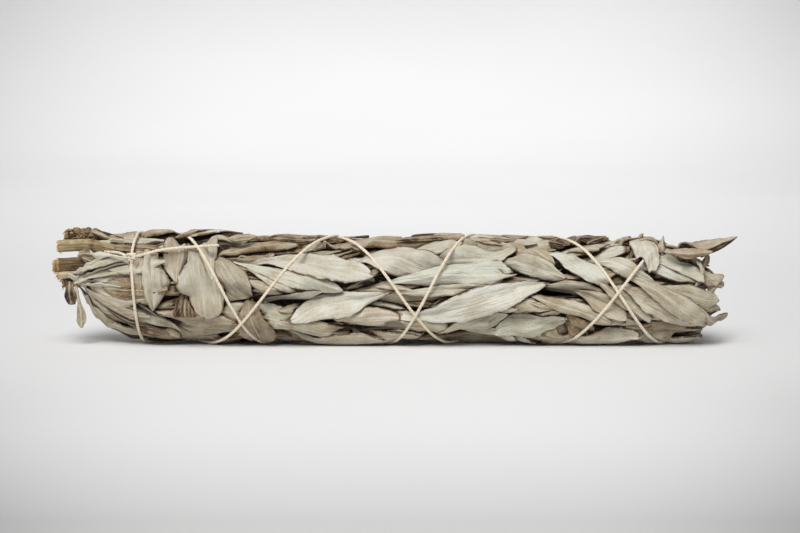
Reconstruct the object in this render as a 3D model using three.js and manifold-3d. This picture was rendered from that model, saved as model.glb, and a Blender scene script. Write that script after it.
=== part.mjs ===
// A dried white sage bunch. Nine cut stems are laid side by side, eight of them leafy. Loose
// leaves are wrapped round the stem end, and one length of cotton twine binds the whole.
//
// Millimetres, +Z up. The bunch lies on the surface z = 0 along X, with its cut stems at -X and
// its leaf tips at +X. The origin is at the bottom centre of its box.
//
// Inside this file x runs from the furthest cut stem end (0) to the furthest leaf tip. A place
// on the bunch is an x, an angle round it (0 faces -Y, 90 is the top, 180 the back, -90 the
// surface below) and a lift, which is counted outwards from the bunch's outer form.
import * as THREE from "three";
import { mergeVertices } from "three/addons/utils/BufferGeometryUtils.js";
import Module from "manifold-3d";

const wasm = await Module();
wasm.setup();

// ---------------------------------------------------------------- driving dimensions
const CLEARANCE = 0.3; // between pieces that touch
const CORE_GAP = 0.6; // between the packed cores of two leafy stems
const SMALLEST_DETAIL = 0.06; // finer steps than this are smoothed away
const BLADE_THICKNESS = 0.9;
const NARROW_BLADE = 9.8; // a blade no wider than this has no raised rib
const LONG_BLADE = 34; // a blade that reaches further than this along X has an extra bend
// The shares of a blade's length where it bends, root to tip.
const LONG_SHARES = [0, 0.3, 0.72, 1];
const SHORT_SHARES = [0, 0.45, 1];
const WRAPPER_SHARES = [0, 0.25, 0.5, 0.78, 1];
const ARC_RADIUS = 18.4; // turns an angle round the bunch into a length on it
const SIGHT_ANGLE = 5.5; // the heights in the leaf tables are read from this far above level
const DEEPEST_LIFT = -4.2; // where a leaf's root ends, inside the core
const CORE_LIFT = -2.8; // the packed inner leaves end this far under the outer form
const LEAFY_STEMS = 8;
const SECTOR = 360 / LEAFY_STEMS;

// The outer form: [x, height] of its top and bottom, and [x, half depth].
const TOP = [
  [0, 37], [6, 38.6], [20, 36.5], [34, 37.2], [56, 37.2], [66, 36], [100, 35.8],
  [134, 36.4], [160, 35.4], [200, 35.6], [211, 32.5], [219, 28], [229, 21],
];
const BOTTOM = [
  [0, 19], [9, 17], [12, 12], [14.5, 7.6], [19, 4], [27, 1.4], [37, -0.9], [211, -0.9],
  [218, 1], [224, 5], [229, 10],
];
const HALF_DEPTH = [[0, 10.5], [20, 14], [40, 18.3], [200, 18.8], [214, 16.5], [229, 9]];

// Leaves that face -Y: x and height of the root, x and height of the tip, width, bow (the
// middle stands this far above the straight line), rise of the tip off the bunch, and curl (0
// flat, 1 rolled). A later leaf lies on an earlier one.
const FACING_LEAVES = [
  // towards the tips
  [150, 34, 168, 26.6, 7, 1, 0, 0],
  [149, 29.7, 172, 22.3, 6, 1, 0, 0],
  [161, 20.9, 188, 15.2, 6, 0.8, 0, 0],
  [174, 18.4, 192, 8.4, 7, 0.5, 0, 0],
  [166, 30, 186, 20.4, 7.5, 0.8, 0, 0],
  [181, 28.7, 201, 21.3, 6, 0.6, 0, 0],
  [184, 32.7, 201, 36, 5, 0.6, 1.6, 0],
  [170, 1.6, 197, 2.2, 5.5, 0, 0, 0],
  [182, 21.3, 200, 7.1, 6, 0.4, 0, 0],
  [196, 2, 218, 3.2, 6, 0, 0, 0.4],
  [205, 15, 224, 10.2, 9.5, 0.6, 0, 0],
  [213, 26, 225.5, 20.6, 8, -0.6, 0.6, 0],
  [190, 19.6, 215, 5.4, 9, 1, 0, 0],
  [192, 23.2, 222, 7.6, 8, 1.4, 0, 0],
  [199, 29, 218, 24, 9.5, 0, 0, 0],
  [218, 11, 227, 8.6, 3.6, 0, 0, 0.6],
  [198, 35, 200, 24.6, 8, 0, 0, 0],
  [201, 30.5, 229, 36, 6.5, -1.4, 22, 0],
  // the middle
  [101, 2.4, 132, 1.9, 5, 0, 0, 0],
  [127, 3, 153, 9.1, 8, -0.6, 0, 0],
  [126, 11.5, 147, 15.2, 5, 0.6, 0, 0],
  [114, 32.7, 138, 33.4, 6, -1, 0, 0],
  [126, 28.7, 156, 31.8, 7.5, -0.6, 0, 0],
  [100, 28.7, 137, 25.3, 10.5, 1, 0, 0],
  [110, 21.3, 157, 24.2, 10.5, 0.4, 0, 0],
  [114, 16.9, 152, 17.6, 4.6, 0.4, 0, 0.4],
  [145, 3, 172, 8.4, 8, -0.6, 0, 0],
  [116, 8.2, 166, 20.9, 10, -1.6, 0, 0],
  // between the wrapped leaves and the first crossing of the twine
  [32, 10.5, 62, 7.4, 7, -1.2, 0, 0],
  [40, 4, 68, 3, 7, 0, 0, 0],
  [54, 35.4, 83, 33.8, 4, 0, 0, 0.6],
  [75, 7.1, 100, 2.4, 6.5, 0.5, 0, 0],
  [80, 1.4, 112, 1.8, 5.5, 0, 0, 0],
  [113, 16.9, 80, 7.8, 9.5, 0.8, 0, 0],
  [65, 25.7, 88, 15.5, 5.5, 0.6, 0, 1],
  [62, 27.3, 98, 17.6, 8.5, 1, 0, 0.2],
  [64, 30, 108, 22.6, 11, 1.6, 0, 0],
  [89.8, 34.8, 108, 33.6, 5, 0, 0, 0.3],
  // the small torn leaves and the fan that starts at the stems
  [7.5, 19.5, 10.6, 7.6, 4, 0.4, 0.5, 0],
  [12.2, 17.5, 46, 1.5, 7.5, -2.2, 0, 0],
  [9, 20, 29, 3.2, 8.5, -2.4, 0, 0],
  [11.5, 20, 37, 15, 6, 0.6, 0, 0],
  [10.1, 20.3, 38, 27.4, 4.5, 1.2, 0, 0.3],
  [7.4, 22.3, 40, 30.2, 3.4, 2.2, 0, 0.6],
  [10.8, 19.6, 38, 10.5, 3.6, 1.2, 0, 0.5],
  [10.1, 18.9, 45, 3.7, 9, -0.8, 0, 0],
  [12, 30, 34, 31.2, 5, 0, 0, 0.4],
  [4, 23, 16, 18.6, 5.4, 0, 0.2, 0],
];

// The loose leaves wrapped crosswise over the stem end, in the same terms.
const WRAPPER_LEAVES = [
  [66, 14, 71, 1.6, 12.5, 0, 0, 0],
  [54, 29, 71, 16, 13, 1.2, 0, 0],
  [50, 24, 44, 9, 8, 0, 0, 0],
  [31.5, 34, 32.6, 12.6, 9.5, 0, 0, 0],
  [39, 34, 36.4, 10.8, 13.5, 0, 0, 0],
  [43.5, 37, 43.4, 19.9, 10, 0, 0, 0],
  [48, 35.6, 53.6, 8.4, 14.8, -0.8, 0, 0],
  [53, 37, 55.2, 21.4, 6.6, 0, 0, 0],
];

// The twine goes round the bunch in one sense, along it to the tips and back. These are the x
// where it passes under the bunch and over it in turn.
const TWINE_RADIUS = 0.58;
const TWINE_KNOT = { x: 27.6, around: 38 };
const TWINE_HALF_TURNS = [
  30.5, 43.4, 74.4, 97.1, 137.1, 171.5, 208, 210, 165, 140.8, 110, 94.5, 49, 29,
];
const TWINE_OUTWARD_TURNS = 8; // of those, the ones laid first; the rest ride over them
const TWINE_LIFTS = { outward: -0.3, back: 0.25 };
// The lengthwise end of the twine on both sides of the knot: x, height at the front.
const TWINE_END = [[18.4, 30.6], [23, 30.4]];
const TWINE_TAIL = [[37.5, 31.4], [48.3, 32.5], [56.5, 33]];
const TWINE_STEP = 20; // degrees between the points of its route
const TWINE_SEGMENT = 8.8; // length of its straight stretches

// The cut stems: x of the cut end, y and height there, radius, and the angle of the leafy stem
// that it becomes. The last one is bare and lies in the middle.
const STEMS = [
  { start: 2.2, y: -6.3, height: 26.2, radius: 2.4, around: 0 },
  { start: 2.6, y: -6, height: 33.2, radius: 2.1, around: 45 },
  { start: 4.6, y: -1.2, height: 36.6, radius: 1.7, around: 90 },
  { start: 3.4, y: 5.6, height: 34.2, radius: 1.9, around: 135 },
  { start: 1.8, y: 7.6, height: 26, radius: 2, around: 180 },
  { start: 4.2, y: 5.2, height: 21.3, radius: 1.8, around: 225 },
  { start: 3, y: -0.4, height: 20.6, radius: 1.9, around: 270 },
  { start: 1.8, y: -6, height: 21.4, radius: 1.3, around: 315 },
  { start: 0, y: 0.5, height: 25.8, radius: 2.1, around: null },
];
const STEM_INNER_LIFT = -10.5; // how deep a stem lies in the bunch
const CORE_STATIONS = [9, 16, 24, 33, 44, 100, 160, 208, 217];
const CORE_STARTS = [16, 24, 24, 24, 16, 9, 9, 9]; // x where each leafy stem's leaves pack

const BUD_SCALES = 16; // on the stem that ends in dried buds
const BUD_LENGTH = 18;

// Leaves of the faces that the tables leave out.
const BACK_LEAVES = 34;
const BACK_FROM = 74; // degrees
const BACK_TO = 282;
const TUFT_LEAVES = 9;
const FAN_LEAVES = 5;

// ---------------------------------------------------------------- materials
const finish = (color, roughness) => new THREE.MeshStandardMaterial({ color, roughness, metalness: 0 });
const LEAF = finish(0xb9b39d, 0.85);
const WRAPPER = finish(0xb0a890, 0.85);
const STEM = finish(0x8a7250, 0.8);
const TWINE = finish(0xe4dac6, 0.9);

// ---------------------------------------------------------------- helpers
// A repeatable draw between low and high.
let drawn = 2024;
function draw(low, high) {
  drawn = (drawn * 16807) % 2147483647;
  return low + ((high - low) * drawn) / 2147483647;
}

const radians = (degrees) => (degrees * Math.PI) / 180;

// The value of a list of [x, value] at x, eased between its points.
function along(list, x) {
  if (x <= list[0][0]) return list[0][1];
  const next = list.findIndex(([at]) => at >= x);
  if (next < 0) return list[list.length - 1][1];
  const [x0, v0] = list[next - 1];
  const [x1, v1] = list[next];
  return v0 + (v1 - v0) * THREE.MathUtils.smoothstep(x, x0, x1);
}

// A point on the bunch, from its x, its angle in degrees and its lift.
function onBunch(x, around, lift) {
  const low = along(BOTTOM, x);
  const high = along(TOP, x);
  const angle = radians(around);
  return new THREE.Vector3(
    x,
    -(along(HALF_DEPTH, x) + lift) * Math.cos(angle),
    (high + low) / 2 + ((high - low) / 2 + lift) * Math.sin(angle),
  );
}

// The angle on the face at -Y of a point at that height.
function aroundAt(x, height) {
  const low = along(BOTTOM, x);
  const high = along(TOP, x);
  const share = THREE.MathUtils.clamp((2 * height - high - low) / (high - low), -0.985, 0.985);
  return THREE.MathUtils.radToDeg(Math.asin(share)) + SIGHT_ANGLE;
}

// A closed mesh as a solid.
function solid(geometry) {
  geometry.deleteAttribute("normal");
  geometry.deleteAttribute("uv");
  const merged = mergeVertices(geometry);
  return new wasm.Manifold(
    new wasm.Mesh({
      numProp: 3,
      vertProperties: merged.attributes.position.array,
      triVerts: new Uint32Array(merged.index.array),
    }),
  );
}

// A solid as geometry for a mesh: its largest body, so that scraps and sealed hollows go.
function geometryOf(body) {
  const bodies = body.simplify(SMALLEST_DETAIL).decompose();
  const largest = bodies.reduce((a, b) => (b.volume() > a.volume() ? b : a));
  const { vertProperties, triVerts } = largest.getMesh();
  const geometry = new THREE.BufferGeometry()
    .setAttribute("position", new THREE.BufferAttribute(new Float32Array(vertProperties), 3))
    .setIndex(new THREE.BufferAttribute(new Uint32Array(triVerts), 1));
  geometry.computeVertexNormals();
  return geometry;
}

// A solid from points and faces that are given by their corners.
function solidOf(points, faces) {
  const triangles = faces.flatMap((f) => f.slice(2).flatMap((_, i) => [f[0], f[i + 1], f[i + 2]]));
  return solid(new THREE.BufferGeometry().setFromPoints(points).setIndex(triangles));
}

// A closed tube from rings of points, each the same number of points, first ring to last.
function loft(rings) {
  const sides = rings[0].length;
  const faces = [rings[0].map((_, j) => sides - 1 - j)];
  for (let i = 0; i + 1 < rings.length; i++)
    for (let j = 0; j < sides; j++) {
      const next = (j + 1) % sides;
      faces.push([i * sides + j, i * sides + next, (i + 1) * sides + next, (i + 1) * sides + j]);
    }
  faces.push(rings[0].map((_, j) => (rings.length - 1) * sides + j));
  return solidOf(rings.flat(), faces);
}

// A rod along a curve, with its radius at each share of the way.
function rod(curve, steps, sides, radiusAt) {
  const { normals, binormals } = curve.computeFrenetFrames(steps);
  const rings = normals.map((normal, i) => {
    const centre = curve.getPointAt(i / steps);
    return Array.from({ length: sides }, (_, j) => {
      const angle = (2 * Math.PI * j) / sides;
      return centre
        .clone()
        .addScaledVector(normal, radiusAt(i / steps) * Math.cos(angle))
        .addScaledVector(binormals[i], radiusAt(i / steps) * Math.sin(angle));
    });
  });
  return loft(rings);
}

// The solids that touch a body's box, so that far ones aren't cut from it.
function cut(body, tools) {
  const box = body.boundingBox();
  const near = tools.filter((tool) => {
    const other = tool.boundingBox();
    return box.min.every((v, i) => v <= other.max[i] && other.min[i] <= box.max[i]);
  });
  return near.length ? body.subtract(wasm.Manifold.union(near)) : body;
}

// ---------------------------------------------------------------- leaves
// A leaf's half width at a share of its length: a narrow root, widest before the middle.
function halfWidth(width, share) {
  const s = THREE.MathUtils.clamp(share, 0, 1);
  return (width / 2) * Math.max(0.2, Math.sin(Math.PI * s ** 0.85) ** 0.6);
}

// A leaf lies along a slightly bowed line on the bunch. Its root dives into the core, its rib
// stands up and its edges are pressed down.
function blade(leaf, margin = 0) {
  const climb = radians(leaf.aroundTip - leaf.aroundRoot) * ARC_RADIUS;
  const length = Math.hypot(leaf.xTip - leaf.xRoot, climb);
  const [forward, up] = [(leaf.xTip - leaf.xRoot) / length, climb / length];
  const columns = leaf.width > NARROW_BLADE ? 3 : 2;
  const shares = leaf.shares.map((s) => s + ((s > 0.5 ? 1 : -1) * margin) / length);
  const points = [1, -1].flatMap((face) =>
    shares.flatMap((s, row) =>
      Array.from({ length: columns }, (_, column) => {
        const side = (2 * column) / (columns - 1) - 1;
        const reach = halfWidth(leaf.width, leaf.shares[row]) + margin;
        const across = leaf.bow * Math.sign(forward) * Math.sin(Math.PI * s) + side * reach;
        const middle = row ? leaf.lie + leaf.rise * Math.max(0, s - 0.3) : leaf.rootLift;
        const press = Math.abs(side) * (0.3 + leaf.curl * 0.35 * reach);
        return onBunch(
          leaf.xRoot + forward * s * length - up * across,
          leaf.aroundRoot + THREE.MathUtils.radToDeg((up * s * length + forward * across) / ARC_RADIUS),
          middle - press + face * (BLADE_THICKNESS / 2 + margin),
        );
      }),
    ),
  );
  const rows = shares.length;
  const at = (face, row, column) => face * rows * columns + row * columns + column;
  const faces = [];
  for (let i = 0; i + 1 < rows; i++) {
    for (let j = 0; j + 1 < columns; j++) {
      const quad = [[i, j], [i + 1, j], [i + 1, j + 1], [i, j + 1]];
      faces.push(quad.map(([row, column]) => at(0, row, column)));
      const [a, b, c, d] = quad.map(([row, column]) => at(1, row, column));
      faces.push([a, c, b], [a, d, c]);
    }
    faces.push([at(0, i, 0), at(1, i, 0), at(1, i + 1, 0), at(0, i + 1, 0)]);
    const last = columns - 1;
    faces.push([at(0, i + 1, last), at(1, i + 1, last), at(1, i, last), at(0, i, last)]);
  }
  for (let j = 0; j + 1 < columns; j++) {
    faces.push([at(0, 0, j + 1), at(1, 0, j + 1), at(1, 0, j), at(0, 0, j)]);
    faces.push([at(0, rows - 1, j), at(1, rows - 1, j), at(1, rows - 1, j + 1), at(0, rows - 1, j + 1)]);
  }
  return solidOf(points, faces);
}

// A leaf from a row of a table. Later rows lie higher.
function tableLeaf(row, order, rows) {
  const [xRoot, heightRoot, xTip, heightTip, width, bow, rise, curl] = row;
  return {
    xRoot,
    xTip,
    aroundRoot: aroundAt(xRoot, heightRoot),
    aroundTip: aroundAt(xTip, heightTip),
    width,
    bow,
    rise,
    curl,
    lie: -1.4 + (0.9 * order) / rows,
    rootLift: DEEPEST_LIFT,
    shares: Math.abs(xTip - xRoot) > LONG_BLADE ? LONG_SHARES : SHORT_SHARES,
  };
}

// A leaf of the rule: it starts at an angle, turns a little as it goes, and takes a random
// width, bow and curl.
function ruledLeaf(xRoot, xTip, aroundRoot, turn) {
  return {
    xRoot,
    xTip,
    aroundRoot,
    aroundTip: aroundRoot + turn,
    width: draw(8, 13),
    bow: draw(-1.6, 1.6),
    rise: 0,
    curl: Math.max(0, draw(-0.8, 0.8)),
    lie: draw(-1.4, -0.6),
    rootLift: DEEPEST_LIFT,
    shares: SHORT_SHARES,
  };
}

function ruledLeaves() {
  const leaves = [];
  const across = BACK_TO - BACK_FROM;
  for (let i = 0; i < BACK_LEAVES; i++) {
    // Steps of the golden ratio spread the roots evenly over the back.
    const xRoot = 30 + 152 * ((i * 0.618034) % 1);
    const aroundRoot = BACK_FROM + across * ((i + 0.5) / BACK_LEAVES) + draw(-6, 6);
    leaves.push(ruledLeaf(xRoot, xRoot + draw(34, 46), aroundRoot, draw(-26, 26)));
  }
  for (let i = 0; i < TUFT_LEAVES; i++) {
    const aroundRoot = 60 + (240 * i) / TUFT_LEAVES + draw(-8, 8);
    leaves.push(ruledLeaf(draw(186, 194), draw(217, 225), aroundRoot, draw(-16, 16)));
  }
  for (let i = 0; i < FAN_LEAVES; i++) {
    const aroundRoot = 200 + (80 * i) / FAN_LEAVES;
    leaves.push(ruledLeaf(draw(11, 14), draw(42, 50), aroundRoot, draw(-10, 10)));
  }
  return leaves;
}

// ---------------------------------------------------------------- cores, stems and twine
const sectorOf = (around) => Math.floor(((((around + SECTOR / 2) % 360) + 360) % 360) / SECTOR);

// The packed inner leaves of a leafy stem: a wedge of the bunch, from its axis to just under
// its outer leaves, parted from its neighbours by the clearance.
function core(index, margin = 0) {
  const apart = CORE_GAP / 2 - margin;
  const stations = CORE_STATIONS.filter((x) => x >= CORE_STARTS[index]);
  const last = stations.length - 1;
  const rings = stations.map((station, i) => {
    const x = station + margin * ((i === last) - (i === 0));
    const taper = i && i < last ? 0 : 2.5;
    const middle = new THREE.Vector3(x, 0, (along(TOP, x) + along(BOTTOM, x)) / 2);
    const rim = [0.5, 0, -0.5].map((share) => {
      const point = onBunch(x, (index + share) * SECTOR, CORE_LIFT - taper + margin);
      const out = point.clone().sub(middle).normalize();
      const sideways = new THREE.Vector3(0, -out.z, out.y);
      return point.addScaledVector(sideways, Math.sign(share) * apart);
    });
    const outwards = onBunch(x, index * SECTOR, 0).sub(middle).normalize();
    const apex = middle.addScaledVector(outwards, apart / Math.sin(radians(SECTOR / 2)));
    return [apex, ...rim];
  });
  return loft(rings);
}

function stemRod(stem, margin = 0) {
  const bare = stem.around === null;
  const inner = (x) =>
    bare ? onBunch(x, 90, -along(TOP, x) / 2) : onBunch(x, stem.around, STEM_INNER_LIFT);
  const start = new THREE.Vector3(stem.start - margin, stem.y, stem.height);
  const second = new THREE.Vector3(15, stem.y, stem.height);
  const curve = new THREE.CatmullRomCurve3([start, second, inner(44), inner(74)]);
  const sides = margin ? 5 : 7;
  const spread = margin ? 1 / Math.cos(Math.PI / sides) : 1;
  return rod(curve, 6, sides, (s) => (stem.radius * (1 - 0.25 * s) + margin) * spread);
}

// The dried buds round the end of the top stem: small three-sided scales in a spiral.
function budScales(stem) {
  return Array.from({ length: BUD_SCALES }, (_, i) => {
    const turn = 2.4 * i;
    const scale = new THREE.ConeGeometry(1, 2.6, 3).rotateZ(-Math.PI / 3).rotateX(turn);
    const x = stem.start + 1 + (BUD_LENGTH * i) / BUD_SCALES;
    const drop = 0.075 * Math.max(0, x - 8);
    scale.translate(x, stem.y - 1.55 * Math.sin(turn), stem.height - drop + 1.55 * Math.cos(turn));
    return solid(scale);
  });
}

// The twine's two ways as points: out to the tips and back. The way back starts two points before
// the other ends, so that their tubes join.
function twineRoutes() {
  const turns = TWINE_HALF_TURNS.map((x, i) => [x, -90 - 180 * i]);
  const end = [TWINE_KNOT.x, TWINE_KNOT.around - 180 * turns.length];
  const stops = [[TWINE_KNOT.x, TWINE_KNOT.around], ...turns, end];
  const points = [];
  let outward;
  for (let i = 0; i + 1 < stops.length; i++) {
    const [[x0, a0], [x1, a1]] = [stops[i], stops[i + 1]];
    const steps = Math.round((a0 - a1) / TWINE_STEP);
    const lift = i < TWINE_OUTWARD_TURNS ? TWINE_LIFTS.outward : TWINE_LIFTS.back;
    for (let j = i ? 1 : 0; j <= steps; j++) {
      const share = j / steps;
      const point = onBunch(x0 + (x1 - x0) * share, a0 + (a1 - a0) * share, lift);
      point.z = Math.max(point.z, TWINE_RADIUS + 0.3);
      points.push(point);
    }
    if (i + 1 === TWINE_OUTWARD_TURNS) outward = points.length;
  }
  return [points.slice(0, outward), points.slice(outward - 3)];
}

function twineSolid(margin = 0) {
  const sides = margin ? 4 : 5;
  const radius = (TWINE_RADIUS + margin) / (margin ? Math.cos(Math.PI / sides) : 1);
  const knotPoint = onBunch(TWINE_KNOT.x, TWINE_KNOT.around, TWINE_LIFTS.back);
  const [end, tail] = [TWINE_END, TWINE_TAIL].map((list) =>
    list.map(([x, height]) => onBunch(x, aroundAt(x, height), TWINE_LIFTS.outward)),
  );
  const lengths = [...twineRoutes(), [...end, knotPoint, ...tail]].map((points) => {
    const curve = new THREE.CatmullRomCurve3(points);
    curve.arcLengthDivisions = 2000;
    return rod(curve, Math.round(curve.getLength() / TWINE_SEGMENT), sides, () => radius);
  });
  const knot = solid(new THREE.SphereGeometry(1.35 + margin, 7, 5).translate(...knotPoint.toArray()));
  return wasm.Manifold.union([...lengths, knot]);
}

// ---------------------------------------------------------------- the bunch
const group = new THREE.Group();
const bunch = new THREE.Group();
group.add(bunch);

function add(name, body, material) {
  const mesh = new THREE.Mesh(geometryOf(body), material);
  mesh.name = name;
  bunch.add(mesh);
}

const below = solid(new THREE.BoxGeometry(400, 200, 40).translate(100, 0, -20));
const facing = FACING_LEAVES.map((row, i) => tableLeaf(row, i, FACING_LEAVES.length));
const leaves = [...facing, ...ruledLeaves()];
const wrappers = WRAPPER_LEAVES.map((row, i) => ({
  ...tableLeaf(row, i, WRAPPER_LEAVES.length),
  lie: -1 + 0.07 * i,
  rootLift: -1.3 + 0.07 * i,
  shares: WRAPPER_SHARES,
}));

const twine = twineSolid();
const twineCut = twineSolid(CLEARANCE);
const stemCuts = STEMS.map((stem) => stemRod(stem, CLEARANCE));
const budCut = solid(
  new THREE.CylinderGeometry(3.4, 3.4, BUD_LENGTH + 3, 9)
    .rotateZ(Math.PI / 2)
    .translate(STEMS[2].start + BUD_LENGTH / 2, STEMS[2].y, STEMS[2].height - 0.4),
);
const wrapperCuts = wrappers.map((leaf) => blade(leaf, CLEARANCE));

STEMS.forEach((stem, i) => {
  const budded = i === 2;
  const wood = stemRod(stem);
  const body = budded ? wasm.Manifold.union([wood, ...budScales(stem)]) : wood;
  const others = stemCuts.filter((_, j) => j > i);
  add(`cut_stem_${i + 1}`, cut(body, [...others, twineCut]), STEM);
});

// A leafy stem's leaves are fused to its core. Where leaves of two stems cross, the later stem
// lies on top and the earlier one is cut clear of it.
const leavesOf = Array.from({ length: LEAFY_STEMS }, () => []);
leaves.forEach((leaf) => leavesOf[sectorOf(leaf.aroundRoot)].push(leaf));
leavesOf.forEach((own, k) => {
  const later = Array.from({ length: LEAFY_STEMS - 1 - k }, (_, i) => k + 1 + i);
  const blades = cut(
    wasm.Manifold.union(own.map((leaf) => blade(leaf))),
    later.map((j) => core(j, CLEARANCE)),
  );
  const over = later.flatMap((j) => leavesOf[j].map((leaf) => blade(leaf, CLEARANCE)));
  const body = cut(core(k).add(blades), [...over, ...wrapperCuts, ...stemCuts, budCut, twineCut, below]);
  add(`leafy_stem_${k + 1}`, body, LEAF);
});

wrappers.forEach((leaf, i) => {
  const clear = [...wrapperCuts.slice(i + 1), ...stemCuts, twineCut, below];
  add(`wrapper_leaf_${i + 1}`, cut(blade(leaf), clear), WRAPPER);
});

add("twine", twine, TWINE);

const box = new THREE.Box3().setFromObject(bunch);
bunch.position.set(-(box.min.x + box.max.x) / 2, -(box.min.y + box.max.y) / 2, -box.min.z);

export default group;
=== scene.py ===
# %% [markdown]
# # A dried white sage bunch
# Nine cut stems, some five hundred pressed leaves and bits of leaf, and one length of cotton
# twine. The solids that were made before this script give the size and the place of every
# piece. This script gives them their looks: leaf by leaf, each lying on the leaves below it.

# %% Load the frame
import math

import bpy
import numpy as np
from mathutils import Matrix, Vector


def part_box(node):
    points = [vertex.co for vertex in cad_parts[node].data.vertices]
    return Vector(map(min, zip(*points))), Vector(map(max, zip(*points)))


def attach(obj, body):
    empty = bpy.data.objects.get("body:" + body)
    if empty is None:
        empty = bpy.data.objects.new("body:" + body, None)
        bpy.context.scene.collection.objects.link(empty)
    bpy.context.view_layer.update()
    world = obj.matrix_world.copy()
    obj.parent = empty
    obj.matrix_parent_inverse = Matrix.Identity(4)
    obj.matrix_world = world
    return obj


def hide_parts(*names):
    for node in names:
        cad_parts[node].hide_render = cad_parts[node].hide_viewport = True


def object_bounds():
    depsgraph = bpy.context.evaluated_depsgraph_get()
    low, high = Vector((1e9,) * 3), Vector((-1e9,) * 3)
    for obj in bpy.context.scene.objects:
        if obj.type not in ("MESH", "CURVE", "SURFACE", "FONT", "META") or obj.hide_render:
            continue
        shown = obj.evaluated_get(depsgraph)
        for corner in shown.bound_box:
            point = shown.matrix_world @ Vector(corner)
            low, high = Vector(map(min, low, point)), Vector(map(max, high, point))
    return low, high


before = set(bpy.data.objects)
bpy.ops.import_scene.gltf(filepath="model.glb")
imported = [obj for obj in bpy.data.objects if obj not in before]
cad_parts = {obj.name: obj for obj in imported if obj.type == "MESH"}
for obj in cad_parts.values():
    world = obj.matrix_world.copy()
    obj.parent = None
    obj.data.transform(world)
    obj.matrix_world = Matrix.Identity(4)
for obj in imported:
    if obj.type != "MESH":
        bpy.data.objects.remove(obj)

cad_low, cad_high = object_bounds()
MM = 0.001
STEM_END = cad_low.x / MM  # x of the furthest cut stem end, in millimetres
twine_low, twine_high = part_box("twine")
MIDDLE_Y = (twine_low.y + twine_high.y) / 2 / MM
print("the solids reach", [round(v / MM) for v in cad_high - cad_low], "mm")

# %% [markdown]
# ## A place on the bunch
# The bunch is nearly a cylinder, so a place on it is easiest to give as a distance from the
# stem end, an angle round it (0 faces the viewer, 90 is the top) and a lift out from its
# outer form. Leaves, twine and stems all use these three numbers. Working in them, instead of
# in x, y and z, lets a leaf be laid flat first and wrapped round the bunch afterwards.

# %% The outer form
TOP = [
    (0, 37), (6, 38.6), (20, 36.5), (34, 37.2), (56, 37.2), (66, 36), (100, 35.8),
    (134, 36.4), (160, 35.4), (200, 35.6), (211, 32.5), (219, 28), (229, 21),
]
BOTTOM = [
    (0, 19), (9, 17), (12, 12), (14.5, 7.6), (19, 4), (27, 1.4), (37, -0.9), (211, -0.9),
    (218, 1), (224, 5), (229, 10),
]
HALF_DEPTH = [(0, 10.5), (20, 14), (40, 18.3), (200, 18.8), (214, 16.5), (229, 9)]
ARC_RADIUS = 18.4  # turns an angle round the bunch into a length on it
SIGHT_ANGLE = 5.5  # degrees above level, from where the heights in the tables are read
STEEPEST = 0.985  # share of half the height; past it, a height hardly tells an angle


def eased(table, x):
    """The value of a table of (x, value) at x, eased between its points."""
    at, value = np.array(table, dtype=float).T
    i = np.clip(np.searchsorted(at, x) - 1, 0, len(at) - 2)
    s = np.clip((x - at[i]) / (at[i + 1] - at[i]), 0, 1)
    return value[i] + (value[i + 1] - value[i]) * s * s * (3 - 2 * s)


def on_bunch(x, around, lift):
    """Points in millimetres, from arrays of x, angle in radians and lift."""
    x, around, lift = np.broadcast_arrays(x, around, lift)
    low, high = eased(BOTTOM, x), eased(TOP, x)
    y = -(eased(HALF_DEPTH, x) + lift) * np.cos(around)
    z = (high + low) / 2 + ((high - low) / 2 + lift) * np.sin(around)
    return np.stack([x, y, z], axis=-1)


def around_at(x, height):
    """The angle, in degrees, of a point at that height on the side that faces the viewer."""
    low, high = eased(BOTTOM, x), eased(TOP, x)
    share = np.clip((2 * height - high - low) / (high - low), -STEEPEST, STEEPEST)
    return np.degrees(np.arcsin(share)) + SIGHT_ANGLE


def to_frame(points):
    """Millimetres from the stem end to metres in the frame of the solids."""
    return (np.asarray(points) + [STEM_END, MIDDLE_Y, 0]) * MM


def local_radius(x):
    """The bunch is slimmer at its ends, so a leaf there spans more of its angle."""
    return (eased(HALF_DEPTH, x) + (eased(TOP, x) - eased(BOTTOM, x)) / 2) / 2


print("half way along, the bunch is", float(eased(TOP, 115)), "mm high")

# %% [markdown]
# ## Smooth chance
# A dried leaf is never quite regular. Two kinds of chance are used: single draws, from a
# generator that always starts with the same number, and smooth noise, which is a grid of
# draws with eased values between them.

# %% Draws and noise
MULTIPLIER, MODULUS = 16807, 2147483647
drawn = 2024


def draw(low, high):
    """The same repeatable draw that places the leaves of the solids."""
    global drawn
    drawn = drawn * MULTIPLIER % MODULUS
    return low + (high - low) * drawn / MODULUS


def in_cells(grid, i, j, fi, fj):
    """A grid's values at shares fi and fj of the way from row i and column j to the next."""
    rows, columns = grid.shape
    near, far = (
        grid[(i + k) % rows, j % columns] * (1 - fj) + grid[(i + k) % rows, (j + 1) % columns] * fj
        for k in (0, 1)
    )
    return near * (1 - fi) + far * fi


chance = np.random.default_rng(11)
NOISE = chance.uniform(-1, 1, (64, 64))


def noise(a, b):
    """Smooth noise between -1 and 1 over two coordinates, one wave for each unit or so."""
    ia, ib = np.floor(a).astype(int), np.floor(b).astype(int)
    fa, fb = a - ia, b - ib
    return in_cells(NOISE, ia, ib, fa * fa * (3 - 2 * fa), fb * fb * (3 - 2 * fb))


def smooth(low, high, value):
    """Eased from 0 at the low value to 1 at the high one."""
    s = np.clip((value - low) / (high - low), 0, 1)
    return s * s * (3 - 2 * s)


print("the noise lies between", round(NOISE.min(), 2), "and", round(NOISE.max(), 2))

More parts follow.
